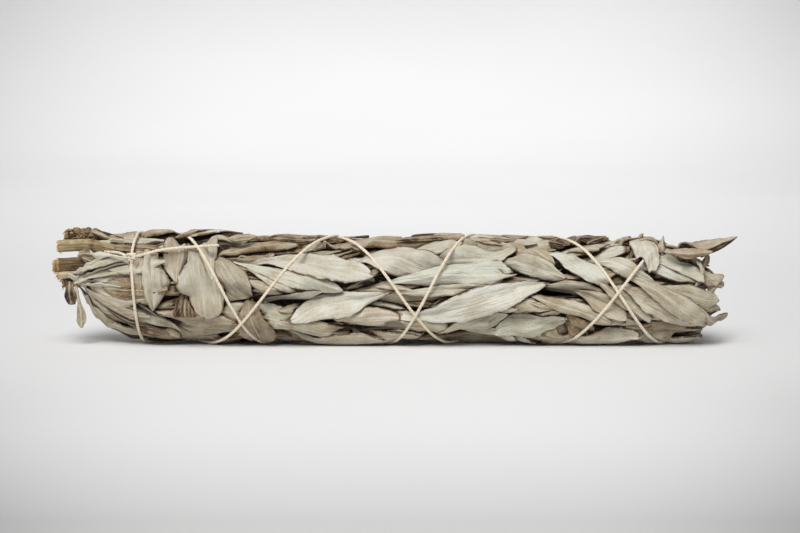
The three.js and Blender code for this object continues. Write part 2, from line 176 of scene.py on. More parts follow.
# %% [markdown]
# ## The leaves
# Sage leaves are long ovals on a short stalk. On a bunch they all point towards the tips and
# lie over each other like shingles. The leaves on the near side are placed one by one, by
# their roots, tips and widths. The others follow a rule with seeded draws, because any even
# cover does there. The heights are the ones that a viewer sees, a little from above.

# %% Leaves that face the viewer, those underneath first
# x and height of root, x and height of tip, width, bow, curl (1 is rolled up) and tone (0 is
# brown, 1 is pale, and less than 0 is painted shade, as dark as a gap)
TIP_LEAVES = [
    (150.5, 34, 168, 26.6, 7, 1, 0.2, 0.6), (149, 29.7, 172, 22.3, 6, 1, 0.3, 0.75),
    (156, 3, 171, 11.1, 6, 0.8, 0.6, 0.6), (161, 20.9, 188, 15.2, 6, 0.8, 0.3, 0.75),
    (159, 16.4, 187, 7.1, 5.2, 0.4, 0.5, 0.55), (174, 18.4, 192, 8.4, 7, 0.5, 0.2, 0.6),
    (166, 30, 186, 20.4, 7.5, 0.8, 0.1, 0.95), (181, 28.7, 201, 21.3, 6, 0.6, 0.2, 0.8),
    (193, 31, 204.6, 36.6, 5, 0.4, 0.2, 0.25), (171, 10, 181, 1.4, 8, 0, 0, 0.35),
    (170, 1.6, 197, 2.2, 5.5, 0, 0.2, 0.7), (182, 21.3, 200, 7.1, 6, 0.4, 0.3, 0.6),
    (210, 3, 217, 7, 5, 0, 0.2, 0.95), (196, 2, 218, 3.2, 6, 0, 0.4, 0.6),
    (205, 15, 224, 10.2, 9.5, 0.6, 0.1, 0.5), (213, 26, 225.5, 20.6, 8, -0.6, 0.1, 0.45),
    (190, 19.6, 215, 5.4, 9, 1, 0.1, 0.7), (192, 23.2, 222, 7.6, 8, 1.4, 0.2, 0.65),
    (212, 29.5, 220.6, 28, 5, 0, 0, 0.1), (199, 29, 218, 24, 9.5, 0, 0, 0.85),
    (218, 11, 227, 8.6, 3.6, 0, 0.7, 0.5), (201.5, 31.2, 221, 30.4, 5.5, -0.5, 0.5, 0.45),
    (197.4, 35, 199.6, 24.4, 9, 0, 0, 0.8),
]
TOP_LEAVES = [
    (64, 36.6, 80, 36.9, 4, 0.4, 0.6, 0.1), (72, 35.6, 90, 36.8, 3.6, 0, 0.8, 0.25),
    (88, 36.6, 99, 36, 3.5, 0, 0.5, 0.15), (119, 36.4, 136, 36.9, 4, 0.3, 0.7, 0.1),
    (128, 35.6, 141, 37, 3.4, 0, 0.6, 0.5), (150, 36.8, 160, 35.6, 4, 0, 0.4, 0.35),
    (168, 34.6, 176, 36.4, 5, 0, 0.2, 0.2), (176, 35, 187, 37, 5, 0.6, 0.4, 0.1),
    (190, 34.4, 203, 36.6, 4.6, 0.3, 0.3, 0.3), (196, 33.6, 213, 34.6, 4, 0.2, 0.6, 0.45),
]
MIDDLE_LEAVES = [
    (101, 2.4, 132, 1.9, 5, 0, 0.2, 0.6), (113, 8, 135, 5.4, 5.5, -0.4, 0.3, 0.5),
    (127, 3, 153, 9.1, 8, -0.6, 0.1, 0.7), (126, 11.5, 147, 15.2, 5, 0.6, 0.5, 0.3),
    (103, 35, 134, 35.6, 4.5, 0, 0.5, 0.4), (114, 32.7, 138, 33.4, 6, -1, 0.3, 0.7),
    (126, 28.7, 156, 31.8, 7.5, -0.6, 0.2, 0.85), (100, 28.7, 137, 25.3, 10.5, 1, 0.15, 0.9),
    (98, 18.4, 108.4, 22.4, 3, 0.4, 0.5, 0.2), (110, 21.3, 157, 24.2, 10.5, 0.4, 0.2, 0.9),
    (114, 16.9, 152, 17.6, 4.6, 0.4, 0.6, 0.7), (145, 3, 172, 8.4, 8, -0.6, 0.1, 0.75),
    (116, 8.2, 166, 20.9, 10, -1.6, 0.25, 0.95),
]
NEAR_LEAVES = [
    (40, 4, 68, 3, 7, 0, 0.2, 0.55), (54, 35.4, 83, 33.8, 4, 0, 0.5, 0.4),
    (55, 32.4, 79, 31, 4, 0, 0.6, 0.5), (75, 7.1, 100, 2.4, 6.5, 0.5, 0.2, 0.6),
    (80, 1.4, 112, 1.8, 5.5, 0, 0.2, 0.65), (93, 7.1, 117, 8.4, 7, 1, 0.3, 0.75),
    (113, 16.9, 80, 7.8, 9.5, 0.8, 0.1, 0.85), (65, 21.6, 86, 14.2, 5, 0.4, 1, 0.6),
    (65, 25.7, 88, 15.5, 5.5, 0.6, 0.9, 0.7), (62, 27.3, 98, 17.6, 8.5, 1, 0.3, 0.85),
    (64, 30, 108, 22.6, 11, 1.6, 0.2, 0.9), (92, 17.9, 71, 12.5, 4.6, -0.6, 0.5, 0.8),
    (89.8, 34.8, 108, 33.6, 5, 0, 0.3, 0.5),
]
FAN_LEAVES = [
    (4.2, 20.5, 5.2, 13.8, 3.6, 0.4, 0, 0.15), (7.5, 19.5, 10.6, 7.2, 4, 0.4, 0.2, 0.45),
    (16, 34.5, 33, 36, 5, 0, 0.4, 0.45), (24, 31.5, 42, 35.4, 9.5, 1, 0.1, 0.75),
    (26, 36.6, 41, 35, 4, 0.8, 0.4, 0.5), (12, 30, 34, 31.2, 5, 0, 0.5, 0.45),
    (13.5, 27.6, 36, 25.6, 5.5, 0.8, 0.7, 0.3), (9.5, 25.6, 23, 23.6, 4, 0.5, 0.6, 0.6),
    (19, 35.8, 30, 33.4, 4.6, 0, 0.3, 0.5), (9.5, 31.2, 16.5, 28, 3.6, -0.8, 0.8, 0.3),
    (32, 10.5, 62, 7.4, 7, -1.2, 0.3, 0.6),
]
HUB_LEAVES = [  # these spread from one place by the stems, with painted shade strips between them
    (5, 22.6, 12, 19, 4.2, 0, 0.3, 0.85), (15, 10.4, 44, 1, 5.4, -1, 0.3, 0.3),
    (9.4, 19, 46, 2.6, 6, -2.3, 0.45, 0.6), (14, 17.4, 39, 8, 3.4, 0.6, 0, -0.8),
    (9, 19.8, 38, 21.6, 5.6, 0.6, 0.35, 0.8), (9.6, 19.8, 37, 12, 2.6, 1.9, 1, 0.75),
    (12, 15.6, 40, 2.4, 1.8, -1.6, 0, -0.8), (8, 20.2, 36, 26, 4.6, 1.6, 0.5, 0.7),
    (9.6, 21.6, 34, 27.6, 1.3, 1.2, 0, -0.8), (6.9, 22.4, 40, 31, 3, 1.8, 0.8, 0.65),
    (9.2, 19.2, 25, 1.6, 7, -5, 0.4, 0.55),
]
WRAPPER_LEAVES = [
    (66.5, 14.5, 70.2, 0.9, 13.4, 0, 0, 0.42), (54.7, 29.4, 67.5, 15.2, 15.2, 0, 0.1, 0.6),
    (45.9, 22, 45.9, 9.1, 8.4, 0, 0, 0.25), (30, 31.6, 31.4, 12.6, 9.5, 0, 0, 0.45),
    (34.1, 33, 35.3, 10.9, 12, 0, 0, 0.75), (43.2, 37.6, 42.9, 20.2, 11.2, 0, 0, 0.85),
    (48, 35.8, 52.7, 8.8, 15.2, 0, 0.1, 0.8), (52.3, 37.6, 54.7, 21.4, 7.6, 0, 0.1, 0.85),
]
# outlines: share of the length, then the shares of half the width on either side
WRAPPER_SHAPES = [
    [(0, 0.1, 0.1), (0.2, 0.4, 0.46), (0.29, 0.58, 0.55), (0.5, 0.86, 0.75), (0.65, 1, 0.82),
     (0.83, 0.75, 0.88), (0.89, 0.65, 0.9), (1, 0.4, 0.6)],
    [(0, 0.15, 0.15), (0.32, 0.55, 0.38), (0.52, 0.82, 0.55), (0.61, 0.9, 0.64),
     (0.78, 1, 0.5), (0.86, 0.85, 0.4), (0.9, 0.6, 0.3), (1, 0.1, 0.1)],
    [(0, 0.2, 0.2), (0.3, 0.35, 0.5), (0.6, 0.6, 0.8), (0.95, 1, 1), (1, 0.9, 0.8)],
    [(0, 0.5, 0.6), (0.3, 0.8, 0.9), (0.6, 0.7, 1), (0.9, 0.3, 0.8), (1, 0.1, 0.5)],
    [(0, 0.4, 0.3), (0.2, 0.4, 0.45), (0.4, 0.52, 0.78), (0.55, 0.6, 1), (0.62, 0.6, 1),
     (0.78, 0.5, 0.7), (0.93, 0.25, 0.3), (1, 0.06, 0.06)],
    [(0, 0.5, 0.45), (0.04, 0.57, 0.52), (0.27, 0.85, 0.62), (0.52, 1, 0.48),
     (0.75, 0.72, 0.27), (0.94, 0.2, 0.12), (1, 0.05, 0.05)],
    [(0, 0.3, 0.3), (0.26, 0.42, 0.3), (0.51, 0.82, 0.64), (0.64, 1.03, 0.8), (0.7, 1, 0.9),
     (0.76, 0.66, 0.88), (0.86, 0.5, 0.84), (0.93, 0.34, 0.78), (0.97, 0.2, 0.66),
     (1, 0.05, 0.4)],
    [(0, 0.9, 0.85), (0.04, 0.93, 0.9), (0.29, 1, 0.73), (0.4, 0.97, 0.65), (0.56, 0.9, 0.5),
     (0.81, 0.5, 0.28), (1, 0.08, 0.08)],
]
# leaves that differ, by the x and height of their roots
BROKEN_TIPS = {(110, 21.3)}
LONG_STALK = [
    (0, 0.17, 0.17), (0.2, 0.19, 0.19), (0.34, 0.55, 0.5), (0.52, 0.95, 0.9), (0.7, 1, 0.9),
    (0.88, 0.6, 0.6), (1, 0.06, 0.06),
]
OTHER_SHAPES = {
    (197.4, 35): [
        (0, 0.85, 0.9), (0.3, 1, 1), (0.6, 0.75, 0.95), (0.82, 0.4, 0.8), (1, 0.05, 0.45),
    ],
    (199, 29): [(0, 0.2, 0.2), (0.3, 0.45, 0.5), (0.6, 0.75, 0.8), (0.85, 1, 0.95), (1, 1, 0.85)],
    **dict.fromkeys([(9, 19.8), (8, 20.2), (9.2, 19.2)], LONG_STALK),
}
ON_TWINE = (197.4, 35)  # this one lies over the twine


def table_leaf(row):
    """A leaf of the tables, with its heights turned into angles."""
    x_root, root_height, x_tip, tip_height, width, bow, curl, tone = row
    root, heights_seen = (x_root, root_height), (root_height, tip_height)
    around = np.radians([around_at(x_root, root_height), around_at(x_tip, tip_height)])
    return dict(
        x=(x_root, x_tip), around=around, width=width, bow=bow, curl=curl, tone=tone, torn=0,
        over=root == ON_TWINE, broken=root in BROKEN_TIPS, shape=OTHER_SHAPES.get(root),
        heights_seen=heights_seen if row in HUB_LEAVES else None,
    )


print(len(TIP_LEAVES + TOP_LEAVES + MIDDLE_LEAVES + NEAR_LEAVES), "leaves along the front")

# %% Leaves that follow the rule
GOLDEN = 0.618034  # steps of this share of a range never bunch up
BACK_LEAVES, TUFT_LEAVES, BACK_FAN_LEAVES = 34, 9, 5  # along the back, by the tips and stems
BACK_FROM, BACK_TO = 74, 282  # degrees
BACK_ROOTS = (30, 182)  # x


def ruled_leaf(x_root, x_tip, around, turn):
    """A leaf by its ends, its angle at the root and the turn from there to its tip."""
    width, bow = draw(8, 13), draw(-1.6, 1.6)
    curl = max(0.0, draw(-0.8, 0.8))
    draw(0, 1)  # the solids draw a height here, which the stack below works out itself
    return dict(
        x=(x_root, x_tip), around=np.radians([around, around + turn]), width=width, bow=bow,
        curl=curl, tone=chance.uniform(0.45, 1), over=False,
    )


def ruled_leaves():
    """The leaves at the back, in the same places as those of the solids."""
    made = []
    for i in range(BACK_LEAVES):
        x_root = BACK_ROOTS[0] + (BACK_ROOTS[1] - BACK_ROOTS[0]) * ((i * GOLDEN) % 1)
        around = BACK_FROM + (BACK_TO - BACK_FROM) * (i + 0.5) / BACK_LEAVES + draw(-6, 6)
        x_tip = x_root + draw(34, 46)
        made.append(ruled_leaf(x_root, x_tip, around, draw(-26, 26)))
    for i in range(TUFT_LEAVES):
        around = 60 + 240 * i / TUFT_LEAVES + draw(-8, 8)
        x_root, x_tip = draw(186, 194), draw(217, 225)
        made.append(ruled_leaf(x_root, x_tip, around, draw(-16, 16)))
    for i in range(BACK_FAN_LEAVES):
        around = 200 + 80 * i / BACK_FAN_LEAVES
        x_root, x_tip = draw(11, 14), draw(42, 50)
        made.append(ruled_leaf(x_root, x_tip, around, draw(-10, 10)))
    return made


def filling_leaves(count, x_range, around_range, tones, small=1.0):
    """Leaves that the others lie on, spread evenly over ranges of x and of degrees."""
    made = []
    for i in range(count):
        x_root = x_range[0] + (x_range[1] - x_range[0]) * ((i * GOLDEN + 0.3) % 1)
        place = (i + chance.uniform(0.2, 0.8)) / count
        around = around_range[0] + (around_range[1] - around_range[0]) * place
        turn = chance.uniform(-30, 30) * small
        x_tip = x_root + chance.uniform(32, 46) * small
        made.append(dict(
            x=(x_root, x_tip), around=np.radians([around, around + turn]), over=False,
            width=chance.uniform(6.5, 11) * small, bow=chance.uniform(-2, 2) * small,
            curl=max(0, chance.uniform(-0.5, 0.9)), tone=chance.uniform(*tones),
        ))
    return made


def from_the_tips(leaves):
    """Leaves nearer the tips lie under those nearer the stems, whose tips cover their roots."""
    return sorted(leaves, key=lambda leaf: -leaf["x"][0])


# random tones, set darker than the others as painted shade for the gaps above them
under = from_the_tips(filling_leaves(120, (20, 184), (-180, 180), (0.2, 0.75)))
behind = from_the_tips(ruled_leaves() + filling_leaves(44, (26, 184), (78, 278), (0.35, 0.95)))
behind += from_the_tips(filling_leaves(56, (40, 184), (-70, 88), (0.3, 0.9)))
FRONT_ROWS = TIP_LEAVES + MIDDLE_LEAVES + NEAR_LEAVES + TOP_LEAVES + FAN_LEAVES + HUB_LEAVES
front = [table_leaf(row) for row in FRONT_ROWS]
crumbs = filling_leaves(60, (26, 204), (-75, 88), (0.1, 0.8), small=0.3)
wrappers = [
    {**table_leaf(row), "shape": shape} for row, shape in zip(WRAPPER_LEAVES, WRAPPER_SHAPES)
]
print(len(under + behind), "leaves by rule and", len(front + wrappers), "placed one by one")

# %% [markdown]
# ## One leaf
# A leaf is a grid of points: along it from root to tip, and across it from edge to edge. Its
# outline gives the width of each row. Its relief is a height over the flat leaf: a sunk
# midrib between two swells, edges that lift or roll, slow waves and fine wrinkles. Dried
# leaves differ most in these, so each leaf draws its own mix.

# %% The flat leaf and its relief
FINE, PLAIN, COARSE, SMALL = (52, 15), (34, 11), (24, 7), (18, 7)  # points along and across
RELIEF = 1.15
BLUNT_END = (0.7, 5)  # of a leaf with a broken tip: its widest place and bluntness
STALK, NARROWEST = 0.2, 0.05  # shares of half the width


def leaf_outline(leaf, u, v, length, seed, broad):
    """Shares of half the width: a short stalk, the widest place and a more or less blunt tip."""
    widest, blunt = chance.uniform(0.42, 0.58), chance.uniform(1.7, 2.6)
    if broad:
        widest, blunt = chance.uniform(0.55, 0.68), chance.uniform(2, 3)
    if leaf.get("broken"):
        widest, blunt = BLUNT_END
    edge = np.sign(v) * 7 + seed  # so that both edges are ragged in their own way
    ragged = 0.1
    if leaf.get("shape"):
        ragged = 0.07
        at, left, right = np.array(leaf["shape"], dtype=float).T
        outline = np.where(v < 0, np.interp(u, at, left), np.interp(u, at, right))
    else:
        rise = STALK + (1 - STALK) * smooth(0, widest * 0.95, u)
        fall = (1 - np.clip((u - widest) / (1 - widest), 0, 1) ** blunt) ** (1 / 1.35)
        outline = np.where(u < widest, rise, fall)
    if leaf.get("broken"):
        u = broken_off(u, v, seed)
    outline = outline * (1 + ragged * noise(u * length / 5 + edge, edge))
    outline = outline * (1 + 0.05 * noise(u * length / 1.1, edge))
    torn = chance.uniform(0.2, 0.6) if chance.random() < leaf.get("torn", 0.3) else 0
    notches = smooth(0.3, 0.6, noise(u * length / 3 + 9, edge + 3)) * smooth(0.3, 0.8, u)
    return np.maximum(outline * (1 - torn * notches), NARROWEST)


def broken_off(u, v, seed):
    """Shares of the length, with the tip cut short along a ragged line."""
    return u * (1 - 0.16 * smooth(0.5, 1, u) * (0.5 + 0.5 * noise(v * 3.2 + seed, u * 0 + 5)))


def leaf_relief(leaf, u, v, half, length, seed):
    """Heights over the flat leaf. Its lengths are for a leaf 10 mm wide."""
    size, curl, av = leaf["width"] / 10, leaf["curl"], np.abs(v)
    # the two halves: swells with a groove between them, a keel, a trough, a lean to one side
    groove = chance.uniform(0.15, 0.5) * (1 - curl)
    keel = chance.uniform(0, 0.7)
    trough = max(0, chance.uniform(-0.4, 0.8)) * (1 - curl)
    tilt = chance.uniform(-0.6, 0.6)
    wave, beat = chance.uniform(0.1, 0.7), chance.uniform(1.2, 3)
    relief = groove * 4 * av * (1 - av) + keel * (1 - av**1.5) + trough * av**2.2
    relief = relief + abs(tilt) * (1 + np.sign(tilt) * v) / 2
    # waves along the edges, then the roll of a curled leaf, flat at the root
    waving = np.sin(2 * math.pi * beat * u + seed + 2 * np.sign(v))
    relief = relief + wave * av**3 * (1 + waving) / 2
    relief = relief * size + curl * 0.85 * np.sqrt(np.maximum(0, 1 - av**2.4)) * half
    relief = relief * smooth(0, 0.14, u)
    # a lifted tip, slow waves, fine wrinkles and one crease
    relief = relief + chance.uniform(0, 0.5) * smooth(0.7, 1, u) ** 2
    relief = relief + 0.2 * noise(u * length / 4 + seed, v * half / 2.4 + seed)
    relief = relief + 0.1 * noise(u * length / 6, v * half / 0.8 + seed)
    crease, drift = chance.uniform(-0.6, 0.6, 2)
    sharp = chance.uniform(-0.7, 0.9)
    ridge = np.maximum(0, 1 - 2.2 * np.abs(v - crease - drift * (u - 0.5)))
    relief = relief + sharp * size * ridge
    return RELIEF * (relief - relief.min())


def leaf_grid(leaf, points, broad=False):
    """A leaf's points on the unrolled bunch, with what its finish needs to know of them."""
    u, v = np.meshgrid(*(np.linspace(a, 1, n) for a, n in zip((0, -1), points)), indexing="ij")
    (x0, x1), (a0, a1) = leaf["x"], leaf["around"]
    climb = (a1 - a0) * ARC_RADIUS
    length = math.hypot(x1 - x0, climb)
    forward, up = (x1 - x0) / length, climb / length
    seed = chance.uniform(0, 60)
    half = leaf["width"] / 2 * leaf_outline(leaf, u, v, length, seed, broad)
    if leaf.get("broken"):
        u = broken_off(u, v, seed)

    # the line that it lies on, which takes more of the angle where the bunch is slim
    sway = chance.uniform(-0.5, 0.5) * np.sin(2 * math.pi * u)
    lie = leaf["bow"] * np.sign(forward) * np.sin(math.pi * u) + sway
    x_mid = x0 + forward * u * length
    slim = ARC_RADIUS / local_radius(x_mid)
    across = (lie + v * half) * slim
    x = x0 + forward * u * length - up * (lie + v * half)
    s = a0 * ARC_RADIUS + up * u * length + forward * across
    if leaf.get("heights_seen"):  # straight to the eye, where the bunch tapers
        h0, h1 = leaf["heights_seen"]
        seen = np.radians(around_at(x_mid, h0 + (h1 - h0) * u))
        s = s + ARC_RADIUS * (seen - a0 - (a1 - a0) * u)

    relief = leaf_relief(leaf, u, v, half, length, seed)
    edge = np.maximum(np.abs(v) ** 3, smooth(0.9, 1, u))
    look = np.stack([edge, np.zeros_like(u), np.full_like(u, leaf["tone"])], axis=-1)
    place = np.stack([u * length, v * half, np.full_like(u, seed)], axis=-1)
    return dict(leaf=leaf, x=x, s=s, relief=relief, place=place, look=look, u=u)


print("a leaf in front has", FINE[0] * FINE[1], "points on each face")

# %% [markdown]
# ## The stack
# Real leaves lie on the leaves below them, so the script lays them one after another on a
# height map that covers the unrolled bunch. A new leaf starts on the heights under it, is
# smoothed as a stiff sheet would be without sinking below them, gets its relief, and is then
# added to the map. No leaf cuts through another, and crevices open where edges end.

# %% Lay the leaves
CELL = 0.45  # millimetres
MAP_X0, MAP_LENGTH = -6, 244
CELLS_X = round(MAP_LENGTH / CELL)
CELLS_S = round(2 * math.pi * ARC_RADIUS / CELL)
heights = np.zeros((CELLS_X, CELLS_S))
LEAF_THICKNESS = 0.32
LEAF_GAP = 0.08
STIFFNESS = 60  # rounds of smoothing
ALONG, ACROSS, OWN = 0.3, 0.1, 0.2  # shares of a smoothed height: neighbours' and its own
RASTER = 4  # points that the map gets for each step of a leaf's grid
TUCK, STALK_TUCK = 1.2, 0.2  # how deep a root lies under its place; a long stalk shows


def map_cells(x, s):
    """Where places lie on the map, in cells; s goes on round the bunch."""
    i = np.clip((x - MAP_X0) / CELL, 0, CELLS_X - 1.001)
    return i, s / (2 * math.pi * ARC_RADIUS) * CELLS_S


def read_map(grid, x, s):
    """The map's values at places between its cells."""
    i, j = map_cells(x, s)
    i0, j0 = np.floor(i).astype(int), np.floor(j).astype(int)
    return in_cells(grid, i0, j0, i - i0, j - j0)


def finer(values, times):
    """A grid with more points between its own."""
    for axis in (0, 1):
        n = values.shape[axis]
        at = np.linspace(0, n - 1, (n - 1) * times + 1)
        i = np.minimum(at.astype(int), n - 2)
        f = (at - i).reshape((-1, 1) if axis == 0 else (1, -1))
        values = np.take(values, i, axis) * (1 - f) + np.take(values, i + 1, axis) * f
    return values


def lay(leaf, points, broad=False):
    """Lay a leaf on the map, and raise the map to its upper face."""
    grid = leaf_grid(leaf, points, broad)
    ground = read_map(heights, grid["x"], grid["s"])
    z = ground.copy()
    for _ in range(STIFFNESS):
        padded = np.pad(z, 1, mode="edge")
        along = (padded[:-2, 1:-1] + padded[2:, 1:-1]) * ALONG
        across = (padded[1:-1, :-2] + padded[1:-1, 2:]) * ACROSS
        z = np.maximum(along + across + z * OWN, ground)
    depth = STALK_TUCK if leaf.get("shape") is LONG_STALK else TUCK
    tuck = depth * (1 - smooth(0, 0.16, grid["u"]))
    grid["z"] = z + LEAF_GAP + grid["relief"] + LEAF_THICKNESS - tuck
    x, s, top = (finer(grid[name], RASTER) for name in ("x", "s", "z"))
    i, j = map_cells(x, s)
    np.maximum.at(heights, (np.round(i).astype(int), np.round(j).astype(int) % CELLS_S), top)
    return grid


laid = [lay(leaf, COARSE) for leaf in under]
laid += [lay(leaf, PLAIN) for leaf in behind] + [lay(leaf, SMALL) for leaf in crumbs]
laid += [lay(leaf, FINE) for leaf in front]
laid_wrappers = [lay(leaf, FINE, broad=True) for leaf in wrappers]
late = from_the_tips(filling_leaves(16, (11, 20), (100, 215), (0.4, 0.95)))
laid += [lay(leaf, PLAIN) for leaf in late]  # these close the back of the stem end
print("the stack is up to", round(float(heights.max()), 1), "mm thick")

# %% [markdown]
# ## Pressed to the bunch's form
# The stack is thick in some places and thin in others, while the tied bunch is even. So each
# height is counted from the map's own average round it, which keeps the order of the leaves.

# %% The average of the map


def blurred(grid, across_x, across_s):
    """A Gaussian blur of the map, round its seam too."""
    for axis, spread in ((0, across_x / CELL), (1, across_s / CELL)):
        n = int(spread * 3)
        kernel = np.exp(-0.5 * (np.arange(-n, n + 1) / spread) ** 2)
        kernel /= kernel.sum()
        mode = "edge" if axis == 0 else "wrap"
        padded = np.pad(grid, [(n, n) if a == axis else (0, 0) for a in (0, 1)], mode=mode)
        grid = sum(
            k * np.take(padded, np.arange(m, m + grid.shape[axis]), axis)
            for m, k in enumerate(kernel)
        )
    return grid


average = blurred(heights, 7, 6)  # spreads in millimetres
nearby = blurred(heights, 0.7, 0.7)
LAYERS_PRESSED = 1.1
MEAN_LIFT = -1.6
HIGHEST_LIFT = -0.4  # from here up, heights are pressed together
PRESSED_INTO = 1.6  # millimetres that they are pressed into


def lift_of(x, s, z):
    """The lift on the pressed bunch of heights on the map."""
    lift = MEAN_LIFT + LAYERS_PRESSED * (z - read_map(average, x, s))
    over = np.maximum(0, lift - HIGHEST_LIFT)
    return np.minimum(lift, HIGHEST_LIFT) + PRESSED_INTO * (1 - np.exp(-over / PRESSED_INTO))


print("on average the stack is", round(float(average.mean()), 1), "mm thick")

# %% [markdown]
# ## The twine's route
# One thin cotton cord goes round the bunch in long slanting turns to the tips and back, so
# that its turns cross. Its route repeats that of the solids. Where it passes, it presses the
# leaves in, and a second map holds how near the twine is and how high it lies.

# %% Route
TWINE_RADIUS = 0.58
KNOT_X, KNOT_AROUND = 27.6, 38
HALF_TURNS = [30.5, 43.4, 74.4, 97.1, 137.1, 171.5, 208, 210, 165, 140.8, 110, 94.5, 49, 29]
OUTWARD_TURNS = 8
OUTWARD_LIFT, BACK_LIFT = -0.3, 0.25
LOOSE_END = [(18.4, 30.6), (23, 30.4)]  # x and height in front, left of the knot
TAIL = [(37.5, 31.4), (48.3, 32.5), (56.5, 33)]
TWINE_STEP = 20  # degrees


def twine_route():
    """The turns from the knot to the tips and back, as points in millimetres."""
    turns = [(x, -90 - 180 * i) for i, x in enumerate(HALF_TURNS)]
    stops = [(KNOT_X, KNOT_AROUND), *turns, (KNOT_X, KNOT_AROUND - 180 * len(turns))]
    points = []
    for i, ((x0, a0), (x1, a1)) in enumerate(zip(stops, stops[1:])):
        steps = round((a0 - a1) / TWINE_STEP)
        lift = OUTWARD_LIFT if i < OUTWARD_TURNS else BACK_LIFT
        for j in range(1 if i else 0, steps + 1):
            share = j / steps
            around = math.radians(a0 + (a1 - a0) * share)
            point = on_bunch(x0 + (x1 - x0) * share, around, lift)
            points.append(np.maximum(point, [-999, -999, TWINE_RADIUS + 0.3]))
    return np.array(points)


def through(points, step):
    """A smooth line through points: a centripetal Catmull-Rom curve, in steps of a length."""
    p = np.asarray(points, dtype=float)
    p = np.vstack([2 * p[0] - p[1], p, 2 * p[-1] - p[-2]])
    line = []
    for a, b, c, d in zip(p, p[1:], p[2:], p[3:]):
        k = [0.0]
        for m, n in ((a, b), (b, c), (c, d)):
            k.append(k[-1] + max(1e-3, np.linalg.norm(n - m)) ** 0.5)
        count = max(2, int(np.linalg.norm(c - b) / step) + 1)
        t = np.linspace(k[1], k[2], count, endpoint=False)[:, None]
        ab = (k[1] - t) / (k[1] - k[0]) * a + (t - k[0]) / (k[1] - k[0]) * b
        bc = (k[2] - t) / (k[2] - k[1]) * b + (t - k[1]) / (k[2] - k[1]) * c
        cd = (k[3] - t) / (k[3] - k[2]) * c + (t - k[2]) / (k[3] - k[2]) * d
        abc = (k[2] - t) / (k[2] - k[0]) * ab + (t - k[0]) / (k[2] - k[0]) * bc
        bcd = (k[3] - t) / (k[3] - k[1]) * bc + (t - k[1]) / (k[3] - k[1]) * cd
        line.append((k[2] - t) / (k[2] - k[1]) * abc + (t - k[1]) / (k[2] - k[1]) * bcd)
    return np.vstack([*line, p[-2:-1]])


def distances(line):
    """How far along a line each of its points is."""
    return np.concatenate([[0], np.cumsum(np.linalg.norm(np.diff(line, axis=0), axis=1))])


knot_point = on_bunch(KNOT_X, math.radians(KNOT_AROUND), BACK_LIFT)
loose_end, tail = (
    [on_bunch(x, math.radians(around_at(x, h)), OUTWARD_LIFT) for x, h in part]
    for part in (LOOSE_END, TAIL)
)
LINE_STEP = 0.5  # millimetres
loop_line = through(twine_route(), LINE_STEP)
tail_line = through([*loose_end, knot_point, *tail], LINE_STEP)
twine_length = distances(loop_line)[-1] + distances(tail_line)[-1]
print("the twine is", round(twine_length), "mm long")

# %% How near the twine is
REACH = 3.2  # millimetres to each side in which the twine moves the leaves
SPAN = int(REACH / CELL) + 1
DIP, DIP_SPREAD, GIVE = 0.3, 0.16, 0.25  # under the twine; leaves give this much of the rest
RISE, RISE_SPREAD = 1.0, 0.35  # over the twine
near_twine = np.full(heights.shape, REACH)
twine_lift = np.zeros(heights.shape)


def on_map(points):
    """x, length round the bunch and lift of points in space."""
    x, y, z = points.T
    low, high = eased(BOTTOM, x), eased(TOP, x)
    depth, half = eased(HALF_DEPTH, x), (high - low) / 2
    side, rise = -y / depth, (z - (high + low) / 2) / half
    around = np.arctan2(rise, side)
    lift = (np.hypot(side, rise) - 1) * (depth + half) / 2
    return x, around * ARC_RADIUS, lift


for x, s, lift in zip(*on_map(np.vstack([loop_line, tail_line]))):
    i, j = map_cells(x, s)
    ii, jj = (int(cell) + np.arange(-SPAN, SPAN + 2) for cell in (i, j))
    ii, jj = np.meshgrid(ii, jj, indexing="ij")
    ii = np.clip(ii, 0, CELLS_X - 1)
    away = np.hypot(ii - i, jj - j) * CELL
    jj = jj % CELLS_S
    closer = away < near_twine[ii, jj]
    near_twine[ii[closer], jj[closer]] = away[closer]
    twine_lift[ii[closer], jj[closer]] = lift


def pressed(lift, x, s, over=False):
    """Leaves dip under the twine, and the one that was tucked over it rises over it."""
    away = read_map(near_twine, x, s)
    at = read_map(twine_lift, x, s)
    if over:
        return np.maximum(lift, at + RISE - RISE_SPREAD * away**2)
    limit = at - DIP + DIP_SPREAD * away**2
    dipped = np.minimum(lift, limit + GIVE * np.maximum(0, lift - limit))
    return np.where(away < REACH * 0.98, dipped, lift)


print("the twine moves leaves on", int((near_twine < REACH).sum()), "cells of the map")

# %% [markdown]
# ## From grids to meshes
# Each leaf gets an upper and a lower face, a third of a millimetre apart, and a rim. All the
# leaves of one leafy stem become one mesh. Three numbers for each point go with it as named
# attributes, so that the leaf's finish can follow the leaf and not the room.

# %% Mesh helpers
FLOOR_SOFT = 1.0  # millimetres above the table where leaves start to flatten
SUNK_PAINTED_SHADE = 0.85  # painted shade: how much of its tone a leaf loses deep under others
SUNK_FROM, SUNK_TO = 0.4, 2.2  # millimetres below the leaves beside it


def resting(points):
    """Leaves near the table are pressed flat towards it, in their own order."""
    z = points[..., 2]
    flat = FLOOR_SOFT * np.exp((np.minimum(z, FLOOR_SOFT) - FLOOR_SOFT) / FLOOR_SOFT)
    points[..., 2] = np.where(z < FLOOR_SOFT, flat, z)
    return points


